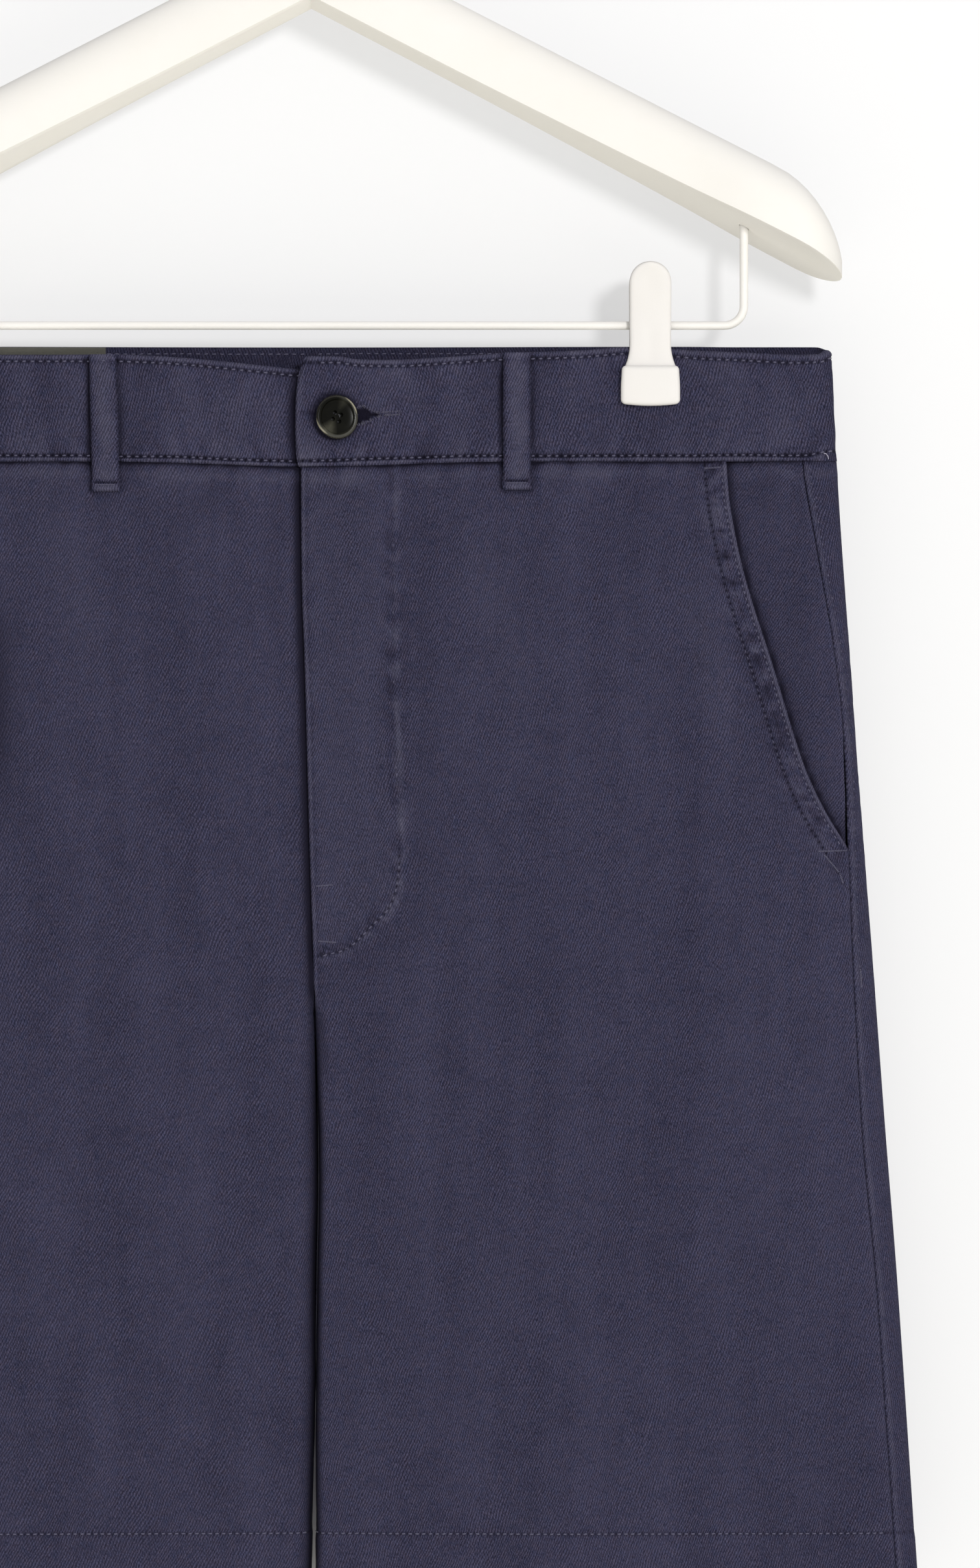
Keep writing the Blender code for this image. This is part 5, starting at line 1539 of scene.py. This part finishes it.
# ---- button ----
BUTTON_PROFILE = (  # radius and height of the turned face, rim and back
    (0.05, 2.40), (2.4, 2.40), (4.6, 2.42), (6.0, 2.50), (6.7, 2.66), (7.0, 3.0), (7.3, 3.40), (7.9, 3.52),
    (8.4, 3.42), (8.75, 3.05), (BUTTON_ACROSS / 2, 2.45), (8.8, 1.85), (8.2, 1.3), (7.0, 0.85), (5.0, 0.6),
    (0.05, 0.5),
)


def button(thread):
    """A turned four-hole button, its face dished inside a raised rim, on a wound shank."""
    seat = surface(1, False, np.array([BUTTON_X]), np.array([BUTTON_DROP]), BAND_PROUD)[0]
    material = horn_material(seat)
    lean = math.radians(BUTTON_LEAN)
    turn = Matrix.Rotation(math.radians(BUTTON_TILT), 3, Vector((-math.sin(lean), 0, math.cos(lean))))
    axis = np.array(turn @ Vector((0, -1, 0)))
    place = seat + np.array([0, -0.9, 0]) - axis * 2.0 + np.array(BUTTON_SHIFT)
    disc = ring_mesh("button_disc", turned(BUTTON_PROFILE, place, axis, 96), material, 40)
    holes = []
    for k in range(4):
        a = math.radians(HOLE_TURN + 90 * k)
        through = place + np.array(turn @ Vector((HOLE_OUT * math.cos(a), -1.3, HOLE_OUT * math.sin(a))))
        holes.append(cylinder(f"hole_{k}", through + axis * 2.6, 0.9, 6, axis, material, 24))
        strand(f"button_thread_{k}", through - axis * 0.5, axis, 0.2, 0.5, 1.5, 0.4, thread)
    cut(disc, holes)
    keep(disc, "horn", "button")
    strand("button_shank", seat + np.array([0.3, 0.3, -0.4]), (0, -1, 0), 1.0, 2.4, 5, 0.62, thread)


# ---- hanger ----
BOSS_PROFILE = (
    (10.5, -14), (10.5, -1.6), (10.1, -0.6), (9.2, 0.0), (3.4, 0.0), (2.5, -0.5), (2.3, -1.6), (2.3, -9),
)
BULB_PROFILE = (
    (1.85, -2.4), (2.0, -1.3), (2.2, -0.6), (2.26, 0.1), (2.15, 0.8), (1.8, 1.5), (1.2, 1.95), (0.4, 2.15),
)
TIP_PLACES = [192, 196, 200, 203, 206, 208.5, 210.5, 212, 213, 213.6, ARM_TIP]


def arm_ring(x):
    """A section of the arms: a tilted flat underside with small rounded corners, and a round top."""
    away = abs(x)
    close_plan = math.sqrt(max(0.0004, 1 - clamp((away - PLAN_CLOSES) / (ARM_TIP - PLAN_CLOSES)) ** 2))
    close_top = math.sqrt(max(0.01, 1 - clamp((away - TOP_CLOSES) / (ARM_TIP + 0.6 - TOP_CLOSES)) ** 2))
    half = float(arm_depth(away)) / 2 * close_plan
    underside = -HOOK_TO_WAIST + float(arm_underside(away)) + 0.9
    ring = []
    for k in range(33):
        a = math.pi * k / 32
        y = -half * math.cos(a)
        ring.append((x, y, underside - ARM_TILT * y + ARM_HEIGHT * close_top * math.sin(a) ** 0.55))
    corner = min(0.9, 0.3 * half)
    for t in np.linspace(1, -1, 9):
        y = (half - corner) * t
        ring.append((x, y, underside - ARM_TILT * y - 0.35 * close_plan))
    return ring


def hanger_arms(material):
    half = list(np.arange(0, 190, 5.0)) + TIP_PLACES
    places = [-x for x in reversed(half[1:])] + half
    arms = ring_mesh("hanger_arms_moulding", [arm_ring(x) for x in places], material)
    z = -HOOK_TO_WAIST + float(arm_underside(BAR_SIDE))
    ends = [(-BAR_SIDE, 0, z), (BAR_SIDE, 0, z)]
    cut(arms, [cylinder("bar_hole", end, WIRE / 2 + SEAM, 24, (0, 0, 1), material, 28) for end in ends])
    keep(arms, "white_plastic", "hanger_arms")
    boss = turned(BOSS_PROFILE, (0, 0, -HOOK_TO_WAIST + BOSS_TOP), (0, 0, 1), 40)
    keep(ring_mesh("hanger_boss", boss, material), "white_plastic")


def arc(middle, radius, start, end, count):
    turns = np.radians(np.linspace(start, end, count + 1))
    return [(middle[0] + radius * math.cos(a), 0.0, middle[1] + radius * math.sin(a)) for a in turns]


def hanger_hook(material):
    radius = HOOK_INSIDE + HOOK_WIRE / 2
    over = arc((0.0, -HOOK_INSIDE), radius, -HOOK_LEAVES, HOOK_END, 90)
    leave = math.radians(HOOK_LEAVES)
    bend = radius * math.cos(leave) / (1 - math.cos(leave))
    foot_z = over[0][2] - bend * math.sin(leave)
    swing = arc((bend, foot_z), bend, 180, 180 - HOOK_LEAVES, 16)
    stem = [(0.0, 0.0, -HOOK_TO_WAIST + BOSS_TOP - 11), (0.0, 0.0, foot_z - 2)]
    points = stem + swing[:-1] + over
    wire("hanger_hook_wire", points, HOOK_WIRE, material, "white_wire", "hanger_hook", sides=6)
    bulb = turned(BULB_PROFILE, over[-1], np.subtract(over[-1], over[-2]), 32)
    keep(ring_mesh("hanger_hook_tip", bulb, material, 80), "white_wire")


def hanger_bar(material):
    level = -HOOK_TO_WAIST - BAR_DROP + BAR_BEND
    top = -HOOK_TO_WAIST + float(arm_underside(BAR_SIDE)) + 10
    corner = BAR_SIDE - BAR_BEND
    right, left = arc((-corner, level), BAR_BEND, 180, 270, 18), arc((corner, level), BAR_BEND, 270, 360, 18)
    points = [(-BAR_SIDE, 0.0, top)] + right + left + [(BAR_SIDE, 0.0, top)]
    wire("hanger_bar_wire", points, WIRE, material, "white_wire", "hanger_bar", sides=7)


def jaw_half(drop):
    """The half width of a clip's jaw, its tab closing in a round top."""
    top, radius = JAW["drop"][0], TAB_HALF
    below = clamp(drop - top, 0.0, radius)
    round_top = np.sqrt(clamp(radius**2 - (radius - below) ** 2, 0.04, radius**2))
    return np.where(drop < top + radius, round_top, reader(JAW, "half_width")(drop))


def clip_jaw(sign, face, material):
    """A jaw's tab, softly crowned with a shallow thumb rest, and its wider pad."""
    node = f"clip_{face}_{SIDES[sign]}"
    outward = -1 if face == "front" else 1
    x_middle = CLIP_MIDDLE[sign]
    drop = spread(JAW["drop"][0], JAW_BOTTOM, [0, 0.1, 0.35, 0.8, 1.5, 2.4, 3.6, 5.0], [0], 1.3)[0]
    middle = np.linspace(-0.78, 0.78, 13)
    across = np.concatenate([[-1, -0.985, -0.95, -0.88], middle, [0.88, 0.95, 0.985, 1]])
    half = jaw_half(drop)[:, None]
    x = x_middle + half * across * sign
    drop = np.broadcast_to(drop[:, None], x.shape)
    stand = reader(JAW, "stand_off")(drop) + JAW_THICK
    base = np.stack([x, outward * stand, -HOOK_TO_WAIST - drop], axis=-1)
    crown = 0.55 * (1 - across**2)
    thumb = 0.5 * bump(np.hypot((x - x_middle) / 4.6, (drop - THUMB_DROP) / 6.0), 1.0)
    waist = 0.35 * bump((x - x_middle) / 3.2, 1.0) * smooth(drop, -14, -6) * fade(drop, 4, 9)
    from_edge = np.minimum(half * (1 - np.abs(across)), (drop - drop[0, 0]) * 0.6 + 0.2)
    relief = crown - thumb - waist + rolled_edge(from_edge, 1.1)
    tab = closed_shell(f"{node}_jaw", material, base, -outward * sign, relief, JAW_THICK)
    keep(tab, "white_plastic", node)
    bm = bmesh.new()
    bmesh.ops.create_cube(bm, size=1)
    bmesh.ops.scale(bm, vec=(PAD_ACROSS, PAD_THICK, PAD_BOTTOM - PAD_TOP), verts=bm.verts)
    bmesh.ops.bevel(bm, geom=bm.edges[:], offset=1.7, segments=5, profile=0.5, affect="EDGES")
    long_edges = [edge for edge in bm.edges if edge.calc_length() > 6]
    bmesh.ops.subdivide_edges(bm, edges=long_edges, cuts=9, use_grid_fill=True)
    for vert in bm.verts:
        reach = vert.co.x / (PAD_ACROSS / 2)
        if vert.co.z < -3:
            vert.co.z -= 0.9 * (1 - reach**2)
        vert.co.x *= 1 - 0.035 * smooth(vert.co.z, -2, 8)
        vert.co.y *= 1 - 0.10 * abs(reach) ** 3
    depth = PINCH + BAND_PROUD + SEAM + PAD_THICK / 2
    put_in_place(bm, (x_middle, outward * depth, -HOOK_TO_WAIST - (PAD_TOP + PAD_BOTTOM) / 2))
    bmesh.ops.recalc_face_normals(bm, faces=bm.faces)
    keep(bmesh_object(f"{node}_pad", bm, material, 40), "white_plastic")


def clip_spring(sign, material):
    """A spring of close turns round the bar, with a leg against each jaw."""
    level = -HOOK_TO_WAIST - BAR_DROP
    turns, radius, half = 8, 3.3, 5.2
    angles = np.linspace(0, math.tau * turns, turns * 24 + 1)
    x = CLIP_MIDDLE[sign] - half + 2 * half * angles / angles[-1]
    coil = [(at, radius * math.cos(a), level + radius * math.sin(a)) for at, a in zip(x, angles)]
    first = [(x[0] - 0.2, radius + 1.2, level - 13), (x[0] - 0.1, radius + 0.2, level - 5)]
    last = [(x[-1] + 0.1, radius + 0.2, level + 5), (x[-1] + 0.2, radius + 1.5, level + 15)]
    node = f"clip_spring_{SIDES[sign]}"
    wire(f"{node}_coil", first + coil + last, 1.1, material, "spring_steel", node, sides=3)


def finish_nodes(names, material):
    for name in names:
        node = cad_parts[name]
        node.data.materials.clear()
        node.data.materials.append(material)


# ---- room ----
CAMERA_AT = (72.1, -3510.0, -416.2)
LENS, SENSOR = 200, 36
KEY_AT, KEY_TOWARDS = (1.154, -3.76, 0.412), (0.05, 0, -0.42)  # metres
KEY_ACROSS = 0.544  # metres
KEY_WATTS = 84.0
KEY_COLOUR = (1.0, 0.993, 0.982)
BACKDROP_AT = (0, 42, -380)
BACKDROP_HALF, FLOOR_HALF = 1500, 4000
FLOOR_BELOW = 330.0
# Painted shadow: behind this middle of the garment the board's glow is off.
DARK_HALF, DARK_TOP = 0.14, -0.262  # metres: behind this middle of the garment the board doesn't glow
WORLD_UP = (0.11, 0.0, 0.29)  # the room's light grows this way
WORLD_LEVEL = 0.53
SKY = (0.94, 0.94, 0.94, 1)  # what the camera sees beyond the floor
BOARD = (0.400, 0.400, 0.408, 1)
BOARD_GLOW = 0.466  # the board glows, painted light that keeps its shadows faint
FLOOR = (0.92, 0.90, 0.82, 1)
FLOOR_GLOW = 0.30


def camera():
    lens = bpy.data.cameras.new("camera")
    lens.lens, lens.sensor_width = LENS, SENSOR
    lens.clip_start, lens.clip_end = 0.05, 60
    made = link("camera", lens)
    made.location = metres(CAMERA_AT)
    made.rotation_euler = (math.radians(90), 0, 0)
    bpy.context.scene.camera = made


def key_light():
    light = bpy.data.lights.new("key", "AREA")
    light.shape = "DISK"
    light.size, light.energy, light.color = KEY_ACROSS, KEY_WATTS, KEY_COLOUR
    made = link("key", light)
    made.location = KEY_AT
    made.rotation_euler = (Vector(KEY_TOWARDS) - Vector(KEY_AT)).to_track_quat("-Z", "Y").to_euler()


def plane(name, middle, half, material, along=(0, 0, 1)):
    bm = bmesh.new()
    bmesh.ops.create_grid(bm, x_segments=1, y_segments=1, size=half)
    put_in_place(bm, middle, along)
    made = bmesh_object(name, bm, material)
    return made


def backdrop():
    """A pale board close behind, open from its back and fading out well away from the garment.

    Its glow is off behind the garment, a painted shadow that keeps the gap between the legs dark.
    """
    g = Graph(
        "backdrop", roughness=1.0, specular_ior_level=0.0, base_color=BOARD, emission_color=(1, 1, 1, 1),
    )
    x, _, z = g.split(g.place())
    from_side = g.mad(g.abs(x), -12.0, DARK_HALF * 12)
    below = g.mad(z, -60.0, DARK_TOP * 60)
    above = g.mad(z, 60.0, 0.001 * (HOOK_TO_WAIST + HEM) * 60 + 1.0)
    # Painted shadow: the glow fades out behind the garment.
    covered = g.mul(g.mul(g.clamp(from_side), g.clamp(below)), g.clamp(above))
    g.shade(emission_strength=g.mad(covered, -BOARD_GLOW, BOARD_GLOW))
    away = g.node("VectorMath", g.place(), tuple(metres(BACKDROP_AT)), operation="DISTANCE")
    behind = g.node("NewGeometry", output="Backfacing")
    clear = g.math("MAXIMUM", g.clamp(g.mad(away, 3.3, -2.0)), behind)
    seen = g.node("MixShader", clear, g.shader.outputs[0], g.node("BsdfTransparent"))
    g.put(g.tree.nodes["Material Output"].inputs["Surface"], seen)
    made = plane("backdrop", BACKDROP_AT, BACKDROP_HALF, g.material, (0, -1, 0))
    made.visible_diffuse = made.visible_glossy = made.visible_transmission = made.visible_shadow = False


def room():
    scene = bpy.context.scene
    scene.view_settings.view_transform = "Standard"
    scene.world = bpy.data.worlds.new("room")
    sky = Nodes(scene.world)
    up = sky.node("VectorMath", sky.node("TexCoord", output="Generated"), WORLD_UP, operation="DOT_PRODUCT")
    from_camera = sky.node("LightPath", output="Is Camera Ray")
    seen = sky.node("MixRGB", from_camera, sky.mad(up, 1.0, WORLD_LEVEL), SKY)
    sky.put(sky.tree.nodes["Background"].inputs["Color"], seen)
    backdrop()
    floor = Graph(
        "floor", roughness=0.9, specular_ior_level=0.1, base_color=FLOOR, emission_color=FLOOR,
        emission_strength=FLOOR_GLOW,
    )
    plane("floor", (0, 0, -HOOK_TO_WAIST - HEM - FLOOR_BELOW), FLOOR_HALF, floor.material)
    key_light()
    camera()


def main():
    thread = thread_material("navy_thread", (0.044, 0.042, 0.074, 1))
    fronts = {1: twill("front_left_twill", 69), -1: twill("front_right_twill", 63, 1.1, 0.0, 0.9)}
    back = twill("back_twill", 66)
    band = twill("band_twill", 70, 1.15, 0.02, 1.15)
    loops = twill("loop_twill", 66, 1.05, 0.03, 1.3)
    facing = twill("facing_twill", 56, 1.0, 0.02)
    for sign in SIDES:
        waistband(sign, band)
        front_panel(sign, fronts[sign])
        back_panel(sign, back)
        pocket_facing(sign, facing)
        panel_stitches(sign, thread)
        band_stitches(sign, thread)
    for loop in LOOPS:
        belt_loop(*loop, loops)
    loop_stitches(thread)
    buttonhole_stitches(thread_material("buttonhole_thread", (0.031, 0.029, 0.053, 1)))
    thread_tail(thread_material("cut_thread", (0.22, 0.21, 0.27, 1)))
    button(thread_material("button_thread", (0.010, 0.010, 0.014, 1)))

    coated = moulded("white_wire", (0.76, 0.745, 0.73, 1), 0.48, 0.01)
    hanger_arms(moulded("white_plastic", (0.735, 0.718, 0.698, 1), 0.55))
    hanger_hook(coated)
    hanger_bar(coated)
    jaws = moulded("clip_plastic", (0.668, 0.652, 0.645, 1), 0.55)
    steel = metal("spring_steel", (0.62, 0.61, 0.60, 1), 0.32)
    for sign in SIDES:
        clip_spring(sign, steel)
        for face in ("front", "back"):
            clip_jaw(sign, face, jaws)

    bags = [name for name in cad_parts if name.startswith("pocket_bag")]
    finish_nodes(bags, woven_tape("pocketing", (0.24, 0.225, 0.24, 1), (0.36, 0.34, 0.36, 1), 0.7))
    finish_nodes(["fly_shield"], plain_twill("shield_twill"))
    finish_nodes(["zip_tape"], woven_tape("zip_tape", (0.018, 0.018, 0.03, 1), (0.04, 0.04, 0.06, 1), 0.6))
    finish_nodes(["zip_slider"], metal("zip_metal", (0.36, 0.33, 0.28, 1), 0.4))
    label(
        woven_tape("label", (0.052, 0.051, 0.043, 1), (0.090, 0.088, 0.076, 1), 0.45),
        thread_material("label_thread", (0.045, 0.044, 0.037, 1)),
    )
    room()


main()
